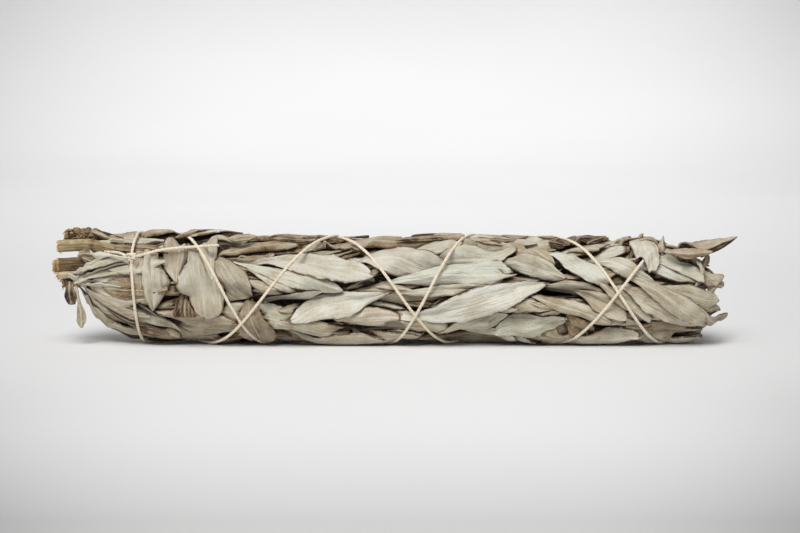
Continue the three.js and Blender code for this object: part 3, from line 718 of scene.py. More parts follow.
def sheet_faces(rows, columns):
    """Faces of a thin sheet: a grid of points, and the same grid again below it."""
    count = rows * columns
    at = np.arange(count).reshape(rows, columns)
    top = np.stack([at[:-1, :-1], at[1:, :-1], at[1:, 1:], at[:-1, 1:]], -1).reshape(-1, 4)
    bottom = top[:, [0, 3, 2, 1]] + count
    ring = np.concatenate([at[0, :-1], at[:-1, -1], at[-1, :0:-1], at[:0:-1, 0]])
    after = np.roll(ring, -1)
    rim = np.stack([ring, after, after + count, ring + count], -1)
    return np.vstack([top, bottom, rim]), ring


def loft(rings):
    """Points and faces of a closed solid through rings, flat at both ends."""
    n = len(rings[0])
    at = np.arange(len(rings) * n).reshape(-1, n)
    after = np.roll(at, -1, axis=1)
    sides = np.stack([at[:-1], after[:-1], after[1:], at[1:]], -1).reshape(-1, 4)
    return np.vstack(rings), [*sides.tolist(), at[0, ::-1].tolist(), at[-1].tolist()]


def added(name, data):
    """A new object in the scene."""
    made = bpy.data.objects.new(name, data)
    bpy.context.collection.objects.link(made)
    return made


def make_mesh(name, points, faces, attributes=(), sharp=()):
    """A smooth mesh with named attributes, and with hard edges along the sharp rings."""
    mesh = bpy.data.meshes.new(name)
    mesh.from_pydata(np.asarray(points).tolist(), [], [list(f) for f in faces])
    mesh.update()
    for label, values in attributes:
        layer = mesh.attributes.new(label, "FLOAT_VECTOR", "POINT")
        layer.data.foreach_set("vector", np.ascontiguousarray(values, dtype=np.float32).ravel())
    mesh.polygons.foreach_set("use_smooth", [True] * len(mesh.polygons))
    if len(sharp):
        ends = np.empty(len(mesh.edges) * 2, dtype=int)
        mesh.edges.foreach_get("vertices", ends)
        ends = ends.reshape(-1, 2)
        group = np.zeros(len(mesh.vertices), dtype=int)
        for k, ring in enumerate(sharp, 1):
            group[ring] = k
        hard = (group[ends[:, 0]] == group[ends[:, 1]]) & (group[ends[:, 0]] > 0)
        mesh.attributes.new("sharp_edge", "BOOLEAN", "EDGE").data.foreach_set("value", hard)
    return added(name, mesh)


def painted_sunk_shade(grid):
    """How deep each point lies beside or under the leaves above it, from 0 to 1, for the painted
    shade there.
    """
    return smooth(SUNK_FROM, SUNK_TO, read_map(nearby, grid["x"], grid["s"]) - grid["z"])


def leaf_solid(grid):
    """The points of both faces of a laid leaf, wrapped round the bunch."""
    leaf, x, s = grid["leaf"], grid["x"], grid["s"]
    if "lift" in grid:  # it is inside the bunch
        upper = grid["lift"]
    else:
        upper = pressed(lift_of(x, s, grid["z"]), x, s, leaf["over"])
        # painted shade: a leaf's tone is darkened where it lies deep beside or under leaves above
        # it
        grid["look"][..., 2] -= SUNK_PAINTED_SHADE * painted_sunk_shade(grid)
    faces = [resting(on_bunch(x, s / ARC_RADIUS, lift)) for lift in (upper, upper - LEAF_THICKNESS)]
    look_below = grid["look"].copy()
    look_below[..., 1] = 1
    points = np.concatenate([f.reshape(-1, 3) for f in faces])
    place = np.concatenate([grid["place"].reshape(-1, 3)] * 2)
    look = np.concatenate([grid["look"].reshape(-1, 3), look_below.reshape(-1, 3)])
    return points, place, look


def turned_out(faces, points, grid):
    """Whether the sheet's first faces point out from the bunch; if not, they are flipped."""
    a, b, c = (points[faces[len(faces) // 3, k]] for k in (0, 1, 2))
    middle = grid["x"].size // 2
    out = points[middle] - points[middle + grid["x"].size]
    return np.dot(np.cross(b - a, c - a), out) > 0


def join_leaves(name, grids):
    """One piece of many leaves, each a closed sheet with sharp rims."""
    points, places, looks, faces, rims = [], [], [], [], []
    start = 0
    for grid in grids:
        p, place, look = leaf_solid(grid)
        f, ring = sheet_faces(*grid["x"].shape)
        if not turned_out(f, p, grid):
            f = f[:, ::-1]
        faces.append(f + start)
        rims += [ring + start, ring + start + grid["x"].size]
        points.append(p)
        places.append(place)
        looks.append(look)
        start += len(p)
    return make_mesh(
        name, to_frame(np.vstack(points)), np.vstack(faces),
        [("leaf_place", np.vstack(places)), ("leaf_look", np.vstack(looks))], rims,
    )


print("the smallest sheet has", len(sheet_faces(2, 2)[0]), "faces")

# %% Sort the leaves by stem
LEAFY_STEMS = 8
SECTOR = 360 / LEAFY_STEMS


def stem_of(leaf):
    """Which leafy stem a leaf belongs to, by the angle at its root."""
    return int(((math.degrees(leaf["around"][0]) + SECTOR / 2) % 360) // SECTOR)


pieces = {}
for k in range(LEAFY_STEMS):
    own = [grid for grid in laid if stem_of(grid["leaf"]) == k]
    pieces[f"leafy_stem_{k + 1}"] = join_leaves(f"sage_leaves_{k + 1}", own)
    print(f"stem {k + 1} has", len(own), "leaves")
for k, grid in enumerate(laid_wrappers):
    pieces[f"wrapper_leaf_{k + 1}"] = join_leaves(f"wrapper_{k + 1}", [grid])

# %% [markdown]
# ## Leaves inside the bunch
# Seen from its ends, the bunch is packed with leaf tips down to the stems. Rings of smaller
# leaves stand in there, and each leafy stem has a solid core under its leaves, coloured as
# leaf brown darkened into painted shade.

# %% Inner leaves and cores
CORE_STARTS = [18, 24, 24, 22, 18, 17, 17, 17]
CORE_END = 208
CORE_STEP = 3
CORE_SIDES = 10
CORE_LIFT = -1.8
# share of the way from the middle of the bunch to its outside, and leaves in that ring
TIP_RINGS = [(0.85, 14), (0.7, 13), (0.56, 11), (0.42, 9), (0.28, 7), (0.14, 5)]
STEM_RINGS = [(0.88, 16), (0.72, 13), (0.56, 11), (0.4, 8), (0.24, 5), (0.1, 2)]


def inner_leaf(x_root, x_tip, around, share, width, tones):
    """A leaf inside the bunch, at a share of the way from its middle to its outside."""
    leaf = dict(
        x=(x_root, x_tip), around=np.radians([around, around + chance.uniform(-15, 15)]),
        width=width / max(0.35, share), bow=chance.uniform(-1, 1), curl=chance.uniform(0, 0.6),
        tone=chance.uniform(*tones), over=False,
    )
    grid = leaf_grid(leaf, SMALL)
    depth = (share - 1) * local_radius(grid["x"])
    rise = 0.6 * grid["relief"] + chance.uniform(-1.5, 1.5) * grid["u"]
    grid["lift"] = depth + rise * min(1, share * 2)
    return grid


def ring_angle(i, count):
    """Where a leaf stands in its ring, in degrees."""
    return 360 * (i + chance.uniform(0.2, 0.8)) / count


inner = []
for share, count in TIP_RINGS:
    for i in range(count):
        tip = chance.uniform(214, 224) - 3 * (1 - share)
        around = ring_angle(i, count)
        root, width = tip - chance.uniform(16, 24), chance.uniform(5, 8)
        inner.append(inner_leaf(root, tip, around, share, width, (0.3, 0.9)))
for share, count in STEM_RINGS:
    for i in range(count):
        around = ring_angle(i, count)
        # they start further in above, where the stems' ends show
        tip = chance.uniform(9, 13) + 6 * (math.sin(math.radians(around)) > 0)
        inner.append(inner_leaf(tip + 22, tip, around, share, chance.uniform(5, 8), (0.2, 0.85)))
print(len(inner), "leaves fill both ends")


def core(k):
    """Points and faces of the wedge under one leafy stem's leaves."""
    around = np.radians(np.linspace(k - 0.5, k + 0.5, CORE_SIDES) * SECTOR)
    rings = []
    for x in np.arange(CORE_STARTS[k], CORE_END, CORE_STEP):
        xs = np.full(CORE_SIDES, float(x))
        lift = np.minimum(lift_of(xs, around * ARC_RADIUS, 0), CORE_LIFT)
        lift = lift - 0.5 + 0.5 * noise(xs / 4, around * 5)
        middle = [[x, 0, (eased(TOP, x) + eased(BOTTOM, x)) / 2]]
        rings.append(np.vstack([middle, on_bunch(xs, around, lift)]))
    return loft(rings)


# %% [markdown]
# ## Stems
# The stems are cut square at one end and lie in the middle of the bunch at the other. Dry bark
# is ridged along its length and swells at the nodes where leaves grew. A stem's row gives
# the x of its end, its place there, its radius, the angle that it bends to inside the bunch,
# the x of its swelling and its tone: 0 is bark, 1 is pale straw.

# %% Stem curves
STEMS = [  # start, y, height, radius, angle (none for the middle), swelling, tone
    (2.2, -6.3, 26.9, 2.4, 0, 14, 0.3), (2.6, -6, 33.2, 2.1, 45, 13.6, 0.72),
    (4.6, -1.2, 36.6, 1.7, 90, 30, 0.1), (3.4, 5.6, 34.2, 1.9, 135, 15, 0.4),
    (1.8, 7.6, 26, 2, 180, 20, 0.3), (4.2, 5.2, 21.3, 1.8, 225, 13, 0.5),
    (3, -0.4, 20.6, 1.9, 270, 17, 0.45), (2.2, -7.4, 23.5, 1.15, 315, 12, 0.95),
    (0, 0.5, 25.8, 2.1, None, 16, 0.35),
]
STEM_SIDES = 28
TAPER = (0.95, 0.7)  # shares of the radius at the cut and inside the bunch
SWELL, SWELL_LENGTH, SCAR_LENGTH = 0.16, 1.3, 0.45  # share of the radius, then millimetres
FRAYED = 0.5  # millimetres of the end that show the wood
STEM_STEP = 0.9  # millimetres
STEM_INNER_LIFT = -10.5
STEM_STRAIGHT, STEM_INNER = 15, (44, 74)  # x where it starts to bend, and x inside the bunch


def frames(line):
    """Two directions square to a line at each point, that turn as little as they can."""
    ahead = np.gradient(line, axis=0)
    ahead /= np.linalg.norm(ahead, axis=1)[:, None]
    side = np.cross(ahead[0], [0.0, 0.1, 1.0])
    sides = []
    for d in ahead:
        side = side - d * np.dot(side, d)
        side /= np.linalg.norm(side)
        sides.append(side)
    sides = np.array(sides)
    return sides, np.cross(ahead, sides)


def stem(row):
    """One stem, from its frayed cut to inside the bunch."""
    start, y, height, radius, around, joint, tone = row
    inside_bunch = [
        on_bunch(x, math.radians(90), -float(eased(TOP, x)) / 2) if around is None
        else on_bunch(x, math.radians(around), STEM_INNER_LIFT)
        for x in STEM_INNER
    ]
    line = through([(start, y, height), (STEM_STRAIGHT, y, height), *inside_bunch], STEM_STEP)
    along = distances(line)
    side, up = frames(line)
    turn = np.linspace(0, 2 * math.pi, STEM_SIDES, endpoint=False)
    seed = chance.uniform(0, 50)
    ridge = 0.05 * np.cos(5 * turn + seed) + 0.03 * np.cos(11 * turn + 2 * seed)
    swell = SWELL * np.exp(-(((line[:, 0] - joint) / SWELL_LENGTH) ** 2))
    taper = TAPER[0] - (TAPER[0] - TAPER[1]) * along / along[-1]
    grown = radius * taper[:, None] * (1 + swell[:, None] + ridge)
    grown = grown + 0.12 * noise(along[:, None] / 2.5 + seed, turn * 1.9 + 0 * along[:, None])
    grown = grown + 0.07 * noise(along[:, None] / 6, turn * 4 + seed + 0 * along[:, None])
    rings = line[:, None] + grown[..., None] * (
        side[:, None] * np.cos(turn)[:, None] + up[:, None] * np.sin(turn)[:, None]
    )
    split = 0.45 * noise(turn * 2.2 + seed, turn * 0 + seed)
    rings[0, :, 0] += split * 0.7
    # the cut face is a little hollow
    inside = line[:1] + (rings[0] - line[:1]) * 0.55 + [0.25, 0, 0]
    pith = line[:1] + (rings[0] - line[:1]) * 0.2 + [0.6, 0, 0]
    rings = [pith, inside, *rings]
    points, faces = loft(rings)
    n = STEM_SIDES
    long_place = np.repeat(np.concatenate([[-1, -0.5], along]), n)
    seeds = np.full(len(points), seed)
    place = np.stack([long_place, np.tile(turn * radius, len(rings)), seeds], -1)
    cut = np.repeat([1.0, 1.0, *np.exp(-along / FRAYED)], n)
    ring = np.exp(-(((line[:, 0] - joint) / SCAR_LENGTH) ** 2))
    shade = tone - 0.6 * np.repeat([0, 0, *ring], n)
    look = np.stack([cut, np.zeros(len(points)), shade], -1)
    return make_mesh(
        "stem", to_frame(points), faces, [("stem_place", place), ("stem_look", look)],
        [np.arange(2 * n, 3 * n)],
    )


print("the cut ends lie within", max(start for start, *_ in STEMS), "mm of each other")

# %% [markdown]
# ## Materials
# Everything here is dry and dull: felted leaves, bark and cotton. Colour comes from a tone
# for each leaf, darkened into painted shade where the leaf lies deep under others, blotches,
# veins and darker edges; the hand-feel from fine relief. The textures are laid out in
# millimetres along and across each leaf, stem or cord. One small function adds every node
# with its settings and links, and hands on what the node gives.

# %% Node helpers


def linear(hex_color):
    """A colour as it shows on a screen, as the linear values that the nodes take."""
    parts = [int(hex_color[i:i + 2], 16) / 255 for i in (1, 3, 5)]
    return (*[c / 12.92 if c <= 0.04045 else ((c + 0.055) / 1.055) ** 2.4 for c in parts], 1)


def feed(made, inputs):
    """Give a node its inputs, by name or in order: plain values, or what other nodes give."""
    for name, value in inputs.items() if isinstance(inputs, dict) else enumerate(inputs):
        if isinstance(value, bpy.types.NodeSocket):
            made.id_data.links.new(value, made.inputs[name])
        else:
            made.inputs[name].default_value = value


def node(tree, kind, inputs=(), output=0, **settings):
    """Add a node with its settings and links. The result is one of its outputs."""
    made = tree.nodes.new(kind)
    for name, value in settings.items():
        setattr(made, name, value)
    feed(made, inputs)
    return made.outputs[output]


MATH, VECTOR, RANGE = "ShaderNodeMath", "ShaderNodeVectorMath", "ShaderNodeMapRange"
SPLIT, MERGE, PLACE = "ShaderNodeSeparateXYZ", "ShaderNodeCombineXYZ", "ShaderNodeTexCoord"
ATTRIBUTE, RAMP, MIX = "ShaderNodeAttribute", "ShaderNodeValToRGB", "ShaderNodeMix"
EASED = {"interpolation_type": "SMOOTHSTEP"}  # for a range with soft ends
COLORS = {"output": 2, "data_type": "RGBA"}  # for a mix of two colours, its inputs 6 and 7


def summed(total, *terms):
    """A total plus each value times its weight, node by node."""
    for value, weight in terms:
        total = node(value.id_data, MATH, (value, weight, total), operation="MULTIPLY_ADD")
    return total


def with_stops(shade, stops):
    """Set the colours of a ramp, from the share and the colour of each stop."""
    elements = shade.node.color_ramp.elements
    while len(elements) < len(stops):
        elements.new(0.5)
    for element, (at, color) in zip(elements, stops):
        element.position = at
        element.color = linear(color)
    return shade


def grain(place, scale, detail, stretch=(1, 1, 1)):
    """A pattern around 0.5, with a number of waves to each unit of the stretched place."""
    tree = place.id_data
    stretched = node(tree, VECTOR, (place, stretch), operation="MULTIPLY")
    settings = {"Vector": stretched, "Scale": scale, "Detail": detail, "Roughness": 0.55}
    return node(tree, "ShaderNodeTexNoise", settings, "Fac")


def dull(place, scale, low, high):
    """A roughness that changes softly from place to place."""
    return node(place.id_data, RANGE, (grain(place, scale, 2), 0.3, 0.7, low, high), **EASED)


def finish(name, layers, sheen=0.0):
    """A dull material from its layers: colour, relief in millimetres and roughness."""
    material = bpy.data.materials.new(name)
    material.use_nodes = True
    tree = material.node_tree
    color, height, roughness = layers(tree)
    relief = {"Height": height, "Distance": MM, "Strength": 1.0}
    feed(tree.nodes["Principled BSDF"], {
        "Base Color": color, "Normal": node(tree, "ShaderNodeBump", relief),
        "Roughness": roughness,
        "Specular IOR Level": 0.25, "Sheen Weight": sheen, "Sheen Roughness": 0.5,
    })
    return material


print("half grey on a screen gives back", round(linear("#808080")[0], 2), "of the light")

# %% Leaf finishes
VEIN_STEP = 3.1  # millimetres between the side veins


def veins(along, across):
    """A midrib and side veins that sweep towards the tip: 1 on a vein, 0 between them."""
    tree = along.id_data
    side = node(tree, MATH, (across,), operation="ABSOLUTE")
    rib = node(tree, RANGE, (side, 0.12, 0.42, 1.0, 0.0), **EASED)
    turns = summed(0.5, (along, 1 / VEIN_STEP), (side, -1.25 / VEIN_STEP))
    wave = node(tree, MATH, (turns, 0.5), operation="PINGPONG")
    swept = node(tree, RANGE, (wave, 0.0, 0.06, 0.6, 0.0), **EASED)
    return node(tree, MATH, (rib, swept), operation="MAXIMUM")


def leaf_finish(name, stops, edge_color, vein_color, vein_share):
    """Felted leaf: the tone runs along the stops, edges are drier, undersides paler."""

    def layers(tree):
        """The leaf's colour, relief and roughness."""
        place = node(tree, ATTRIBUTE, output="Vector", attribute_name="leaf_place")
        look = node(tree, ATTRIBUTE, output="Vector", attribute_name="leaf_look")
        along, across, seed = node(tree, SPLIT, (place,)).node.outputs
        edge, below, tone = node(tree, SPLIT, (look,)).node.outputs
        blotch, speck = grain(place, 0.13, 4), grain(place, 2.6, 2)
        streak = grain(place, 1.0, 2, (0.12, 1.1, 1))
        shift = -(1.1 + 0.64 + 0.44) / 2  # because the patterns lie around a half
        shade = summed(shift, (tone, 1.0), (blotch, 1.1), (streak, 0.64), (speck, 0.44))
        color = with_stops(node(tree, RAMP, (shade,)), stops)
        # some leaves are a little greener and some a little pinker
        kind = node(tree, "ShaderNodeTexWhiteNoise", {"W": seed}, "Value", noise_dimensions="1D")
        for limits, tint in (
            ((0.55, 0.9, 0.0, 0.32), "#D9E0D2"), ((0.1, 0.4, 0.4, 0.0), "#E4CDBF"),
        ):
            share = node(tree, RANGE, (kind, *limits), **EASED)
            tinted = {0: share, 6: color, 7: linear(tint)}
            color = node(tree, MIX, tinted, blend_type="MULTIPLY", **COLORS)
        lines = veins(along, across)
        vein = node(tree, MATH, (lines, vein_share), operation="MULTIPLY")
        paler = node(tree, MATH, (below, 0.35), operation="MULTIPLY")
        rim = node(tree, RANGE, (edge, 0.68, 0.95), **EASED)
        patches = node(tree, RANGE, (grain(place, 0.35, 3), 0.36, 0.52, 0.0, 0.9), **EASED)
        dried = node(tree, MATH, (rim, patches), operation="MULTIPLY")
        for share, tint in ((vein, vein_color), (paler, "#C3AE98"), (dried, edge_color)):
            color = node(tree, MIX, {0: share, 6: color, 7: linear(tint)}, **COLORS)

        felt, fold = grain(place, 3.5, 2), grain(place, 1.0, 3, (0.14, 1.0, 1))
        cells = node(
            tree, "ShaderNodeTexVoronoi", {"Vector": place, "Scale": 0.9}, "Distance",
            feature="DISTANCE_TO_EDGE",
        )
        pads = node(tree, RANGE, (cells, 0.0, 0.2), **EASED)
        height = summed(0.0, (felt, 0.05), (fold, 0.66), (pads, 0.05), (lines, -0.1))
        return color, height, dull(place, 0.8, 0.78, 0.95)

    return finish(name, layers, sheen=0.15)


sage = leaf_finish(
    "felted dried sage leaf",  # veins every 3 mm, felt 0.3 mm
    [
        # the darkest stops also carry painted shade: leaves sunk deep under others and strips in
        # gaps
        (0.0, "#2C1E10"), (0.08, "#4B3824"), (0.2, "#79654A"), (0.38, "#9A8B72"),
        (0.6, "#B0A691"), (0.8, "#C1BCAB"), (1.0, "#CDCBC0"),
    ],
    "#5F4730", "#DAD2BC", 0.3,
)
wrapper_sage = leaf_finish(
    "broad dried wrapping leaf",  # as the sage, a little browner and more veined
    [
        # as for the sage, the darkest stops also carry painted shade where a leaf lies sunk
        (0.0, "#32241A"), (0.1, "#5B4832"), (0.25, "#84745D"), (0.5, "#9F927D"),
        (0.75, "#B1A895"), (1.0, "#C2BDAF"),
    ],
    "#7A6044", "#CFC4AB", 0.4,
)


def painted_shade_core_layers(tree):
    """Leaf brown darkened into painted shade, in coarse folds, for what shows between the leaves.
    """
    place = node(tree, PLACE, output="Object")
    color = with_stops(
        node(tree, RAMP, (grain(place, 400.0, 4),)),
        [(0.3, "#1D150D"), (0.55, "#3B2E1F"), (0.75, "#5A4A35")],
    )
    height = summed(0.0, (grain(place, 700.0, 4, (0.3, 1, 1)), 1.2))
    return color, height, dull(place, 900.0, 0.82, 0.95)


packed = finish("leaf packed inside, dark with painted shade", painted_shade_core_layers)  # waves of 1.5 mm
print("the sage finish takes", len(sage.node_tree.nodes), "nodes")

# %% Stem and cord finishes


def bark_layers(tree):
    """Bark in streaks along the stem, and straw-coloured wood where it is cut."""
    place = node(tree, ATTRIBUTE, output="Vector", attribute_name="stem_place")
    look = node(tree, ATTRIBUTE, output="Vector", attribute_name="stem_look")
    cut, _, tone = node(tree, SPLIT, (look,)).node.outputs
    streak, patch = grain(place, 1.0, 3, (0.25, 1.6, 1)), grain(place, 0.3, 3)
    shade = summed(-(0.9 + 0.7) / 2, (tone, 1.0), (streak, 0.9), (patch, 0.7))
    skin = with_stops(node(tree, RAMP, (shade,)), [
        (0.0, "#3F2F20"), (0.25, "#6B5640"), (0.5, "#8A7353"), (0.75, "#A69570"), (1.0, "#C7B79A"),
    ])
    wood = with_stops(
        node(tree, RAMP, (grain(place, 2.0, 2),)),
        [(0.3, "#8A6238"), (0.5, "#BC9256"), (0.7, "#E0C48E")],
    )
    share = node(tree, RANGE, (cut, 0.15, 0.75), **EASED)
    color = node(tree, MIX, {0: share, 6: skin, 7: wood}, **COLORS)
    ridges, pores = grain(place, 1.0, 4, (0.3, 2.2, 1)), grain(place, 4.0, 2)
    return color, summed(0.0, (ridges, 0.6), (pores, 0.08)), dull(place, 1.0, 0.7, 0.9)


def cotton_layers(tree):
    """Cream fibres along the yarn, soiled in places."""
    whole = node(tree, ATTRIBUTE, output="Vector", attribute_name="cord_place")
    along, around, _ = node(tree, SPLIT, (whole,)).node.outputs
    place = node(tree, MERGE, (along, around))
    fibre, soil = grain(place, 1.0, 3, (1.2, 5.0, 1)), grain(place, 0.12, 2)
    clean = with_stops(
        node(tree, RAMP, (fibre,)), [(0.25, "#BFAE92"), (0.5, "#E3D6BF"), (0.75, "#F4ECDC")]
    )
    share = node(tree, RANGE, (soil, 0.5, 0.75, 0.0, 0.3), **EASED)
    color = node(tree, MIX, {0: share, 6: clean, 7: linear("#B49C78")}, **COLORS)
    height = summed(0.0, (grain(place, 1.0, 3, (1.5, 9.0, 1)), 0.12))
    return color, height, dull(node(tree, PLACE, output="Object"), 2000.0, 0.85, 0.98)


bark = finish("ridged dry bark and straw", bark_layers)  # ridges of 0.5 mm
cotton = finish("cream cotton yarn", cotton_layers, sheen=0.2)  # fibres of 0.1 mm
print("the bark takes", len(bark.node_tree.nodes), "and the cotton", len(cotton.node_tree.nodes))

# %% [markdown]
# ## The cord
# Geometry nodes turn the route into cord. The route is cut into even steps, and three thinner
# yarns wind round it: each yarn is the route itself, moved aside by a circle that turns with
# the distance along it. Later, one more group strews loose fibres and bud scales.

# %% Cord node group
FLOAT, SHAPE, FINISH = "NodeSocketFloat", "NodeSocketGeometry", "NodeSocketMaterial"
STORE = "GeometryNodeStoreNamedAttribute"


def group_with(name, sockets):
    """A group, what its inputs give by name, and the node that takes its result."""
    group = bpy.data.node_groups.new(name, "GeometryNodeTree")
    group.interface.new_socket("Geometry", in_out="INPUT", socket_type=SHAPE)
    for label, kind, value in sockets:
        made = group.interface.new_socket(label, in_out="INPUT", socket_type=kind)
        if value is not None:
            made.default_value = value
    group.interface.new_socket("Geometry", in_out="OUTPUT", socket_type=SHAPE)
    inputs = group.nodes.new("NodeGroupInput").outputs
    return group, {s.name: s for s in inputs}, group.nodes.new("NodeGroupOutput")


YARNS = 3
YARN_SIDES = 7
cord, cord_in, cord_out = group_with("laid cord", [
    ("Yarn Radius", FLOAT, 0.3), ("Yarn Offset", FLOAT, 0.35), ("Lay Length", FLOAT, 3.2),
    ("Step", FLOAT, 0.6), ("Material", FINISH, None),
])
route = node(cord, "GeometryNodeMeshToCurve", (cord_in["Geometry"],))
even = node(
    cord, "GeometryNodeResampleCurve", {"Curve": route, "Length": cord_in["Step"]}, mode="LENGTH"
)
distance = node(cord, "GeometryNodeSplineParameter", output="Length")
tangent = node(cord, "GeometryNodeInputTangent")
normal = node(cord, "GeometryNodeInputNormal")
binormal = node(cord, VECTOR, (tangent, normal), operation="CROSS_PRODUCT")
turned = node(cord, MATH, (distance, cord_in["Lay Length"]), operation="DIVIDE")
joined = node(cord, "GeometryNodeJoinGeometry")
for i in range(YARNS):
    angle = summed(2 * math.pi * i / YARNS, (turned, 2 * math.pi))
    moves = []
    for direction, wave in ((normal, "COSINE"), (binormal, "SINE")):
        share = node(cord, MATH, (angle,), operation=wave)
        reach = node(cord, MATH, (share, cord_in["Yarn Offset"]), operation="MULTIPLY")
        moves.append(node(cord, VECTOR, {0: direction, "Scale": reach}, operation="SCALE"))
    marks = {"Geometry": even, "Name": "cord_along", "Value": distance}
    kept = node(cord, STORE, marks, data_type="FLOAT")
    moved = {"Geometry": kept, "Offset": node(cord, VECTOR, moves, operation="ADD")}
    yarn = node(cord, "GeometryNodeSetPosition", moved)
    circle = {"Resolution": YARN_SIDES, "Radius": cord_in["Yarn Radius"]}
    ring = node(cord, "GeometryNodeCurvePrimitiveCircle", circle)
    share = node(cord, "GeometryNodeSplineParameter", output="Factor")
    marks = {"Geometry": ring, "Name": "cord_around", "Value": share}
    profile = node(cord, STORE, marks, data_type="FLOAT")
    swept = {"Curve": yarn, "Profile Curve": profile, "Fill Caps": True}
    feed(joined.node, (node(cord, "GeometryNodeCurveToMesh", swept),))
along, around = (
    node(cord, "GeometryNodeInputNamedAttribute", {"Name": label}, data_type="FLOAT")
    for label in ("cord_along", "cord_around")
)
place = node(cord, MERGE, (summed(0.0, (along, 1 / MM)), around))
marks = {"Geometry": joined, "Name": "cord_place", "Value": place}
placed = node(cord, STORE, marks, data_type="FLOAT_VECTOR")
smoothed = node(cord, "GeometryNodeSetShadeSmooth", {"Geometry": placed})
whole = node(cord, "GeometryNodeRealizeInstances", (smoothed,))
coloured = {"Geometry": whole, "Material": cord_in["Material"]}
feed(cord_out, (node(cord, "GeometryNodeSetMaterial", coloured),))
print("laying a cord takes", len(cord.nodes), "nodes")


def grown(piece, group, values):
    """The mesh that a node group makes of a piece, as a plain mesh with no modifier left."""
    modifier = piece.modifiers.new(group.name, "NODES")
    modifier.node_group = group
    for item in group.interface.items_tree:
        if item.in_out == "INPUT" and item.name in values:
            modifier[item.identifier] = values[item.name]
    graph = bpy.context.evaluated_depsgraph_get()
    mesh = bpy.data.meshes.new_from_object(piece.evaluated_get(graph))
    piece.modifiers.clear()
    return mesh


def lines_mesh(name, lines):
    """Lines as edges, for the node groups to start from."""
    points, edges, start = [], [], 0
    for line in lines:
        points.append(to_frame(line))
        edges += [(start + i, start + i + 1) for i in range(len(line) - 1)]
        start += len(line)
    mesh = bpy.data.meshes.new(name)
    mesh.from_pydata(np.vstack(points).tolist(), edges, [])
    return added(name, mesh)


# %% Wind the twine
KNOT_SIZE = 0.5  # millimetres, for a trefoil that reaches 3 of its own units out
KNOT_POINTS = 40
yarns = {  # a cord 1.14 mm thick, with the yarns sunk a little into each other
    "Yarn Radius": 0.27 * MM, "Yarn Offset": 0.3 * MM, "Lay Length": 2.9 * MM, "Step": 0.6 * MM,
    "Material": cotton,
}
turn = np.linspace(0, 2 * math.pi, KNOT_POINTS)[:, None]
trefoil = np.hstack([
    np.sin(turn) + 2 * np.sin(2 * turn), -np.sin(3 * turn), np.cos(turn) - 2 * np.cos(2 * turn),
])
knot_line = knot_point + KNOT_SIZE * trefoil * [1, 0.8, 1] + [0, -0.4, 0]
twine = lines_mesh("twine_cord", [loop_line, tail_line])
twine.data = grown(twine, cord, yarns)
knot = lines_mesh("twine_knot", [knot_line])
knot.data = grown(knot, cord, {**yarns, "Yarn Radius": 0.26 * MM, "Yarn Offset": 0.28 * MM})
print("the cord has", len(twine.data.vertices), "points")

# %% [markdown]
# ## Loose fibres and bud scales
# One node group strews small cones or balls over a mesh: thin and long for cotton fuzz and
# torn wood, flat and short for the scales of a dried bud spike, round for its buds.

# %% Strewing node group
strew, strew_in, strew_out = group_with("strewn cones", [
    ("Density", FLOAT, 1.0), ("Seed", "NodeSocketInt", 1), ("Length", FLOAT, 0.001),
    ("Width", FLOAT, 0.0001), ("Flatness", FLOAT, 1.0),
    ("Direction", "NodeSocketVector", (0, 0, 1)), ("Lean", FLOAT, 0.0),
    ("Round", "NodeSocketBool", False), ("Look", "NodeSocketVector", (0, 0, 0)),
    ("Material", FINISH, None),
])
spread = node(strew, "GeometryNodeDistributePointsOnFaces", {
    "Mesh": strew_in["Geometry"], "Density": strew_in["Density"], "Seed": strew_in["Seed"],
})
points, outward = (spread.node.outputs[name] for name in ("Points", "Normal"))
leaned = node(
    strew, MIX, {0: strew_in["Lean"], 4: outward, 5: strew_in["Direction"]}, 1,
    data_type="VECTOR",
)
jitter = node(
    strew, "FunctionNodeRandomValue",
    {0: (-0.45,) * 3, 1: (0.45,) * 3, "Seed": strew_in["Seed"]}, data_type="FLOAT_VECTOR",
)
aimed = {"Vector": node(strew, VECTOR, (leaned, jitter), operation="ADD")}
facing = node(strew, "FunctionNodeAlignRotationToVector", aimed, axis="Z")
levelled = {"Rotation": facing, "Vector": outward}
squared = node(strew, "FunctionNodeAlignRotationToVector", levelled, axis="X")
cone = node(strew, "GeometryNodeMeshCone", {
    "Vertices": 5, "Side Segments": 2, "Radius Top": 0.15, "Radius Bottom": 1.0, "Depth": 1.0,
})
ball = node(strew, "GeometryNodeMeshIcoSphere", {"Radius": 1.0, "Subdivisions": 2})
shapes = {"Switch": strew_in["Round"], "False": cone, "True": ball}
shape = node(strew, "GeometryNodeSwitch", shapes, input_type="GEOMETRY")
grow = node(
    strew, "FunctionNodeRandomValue", {2: 0.5, 3: 1.3, "Seed": strew_in["Seed"]}, 1,
    data_type="FLOAT",
)
flat = node(strew, MATH, (strew_in["Width"], strew_in["Flatness"]), operation="MULTIPLY")
sides = node(strew, MERGE, (flat, strew_in["Width"], strew_in["Length"]))
sized = node(strew, VECTOR, {0: sides, "Scale": grow}, operation="SCALE")
laid_out = {"Points": points, "Instance": shape, "Rotation": squared, "Scale": sized}
realized = node(strew, "GeometryNodeRealizeInstances", {
    0: node(strew, "GeometryNodeInstanceOnPoints", laid_out),
})
here = node(strew, "GeometryNodeInputPosition")
spot = node(strew, VECTOR, {0: here, "Scale": 1 / MM}, operation="SCALE")
for label, value in (("stem_place", spot), ("cord_place", spot), ("stem_look", strew_in["Look"])):
    marks = {"Geometry": realized, "Name": label, "Value": value}
    realized = node(strew, STORE, marks, data_type="FLOAT_VECTOR")
coloured = {"Geometry": realized, "Material": strew_in["Material"]}
feed(strew_out, (node(strew, "GeometryNodeSetMaterial", coloured),))
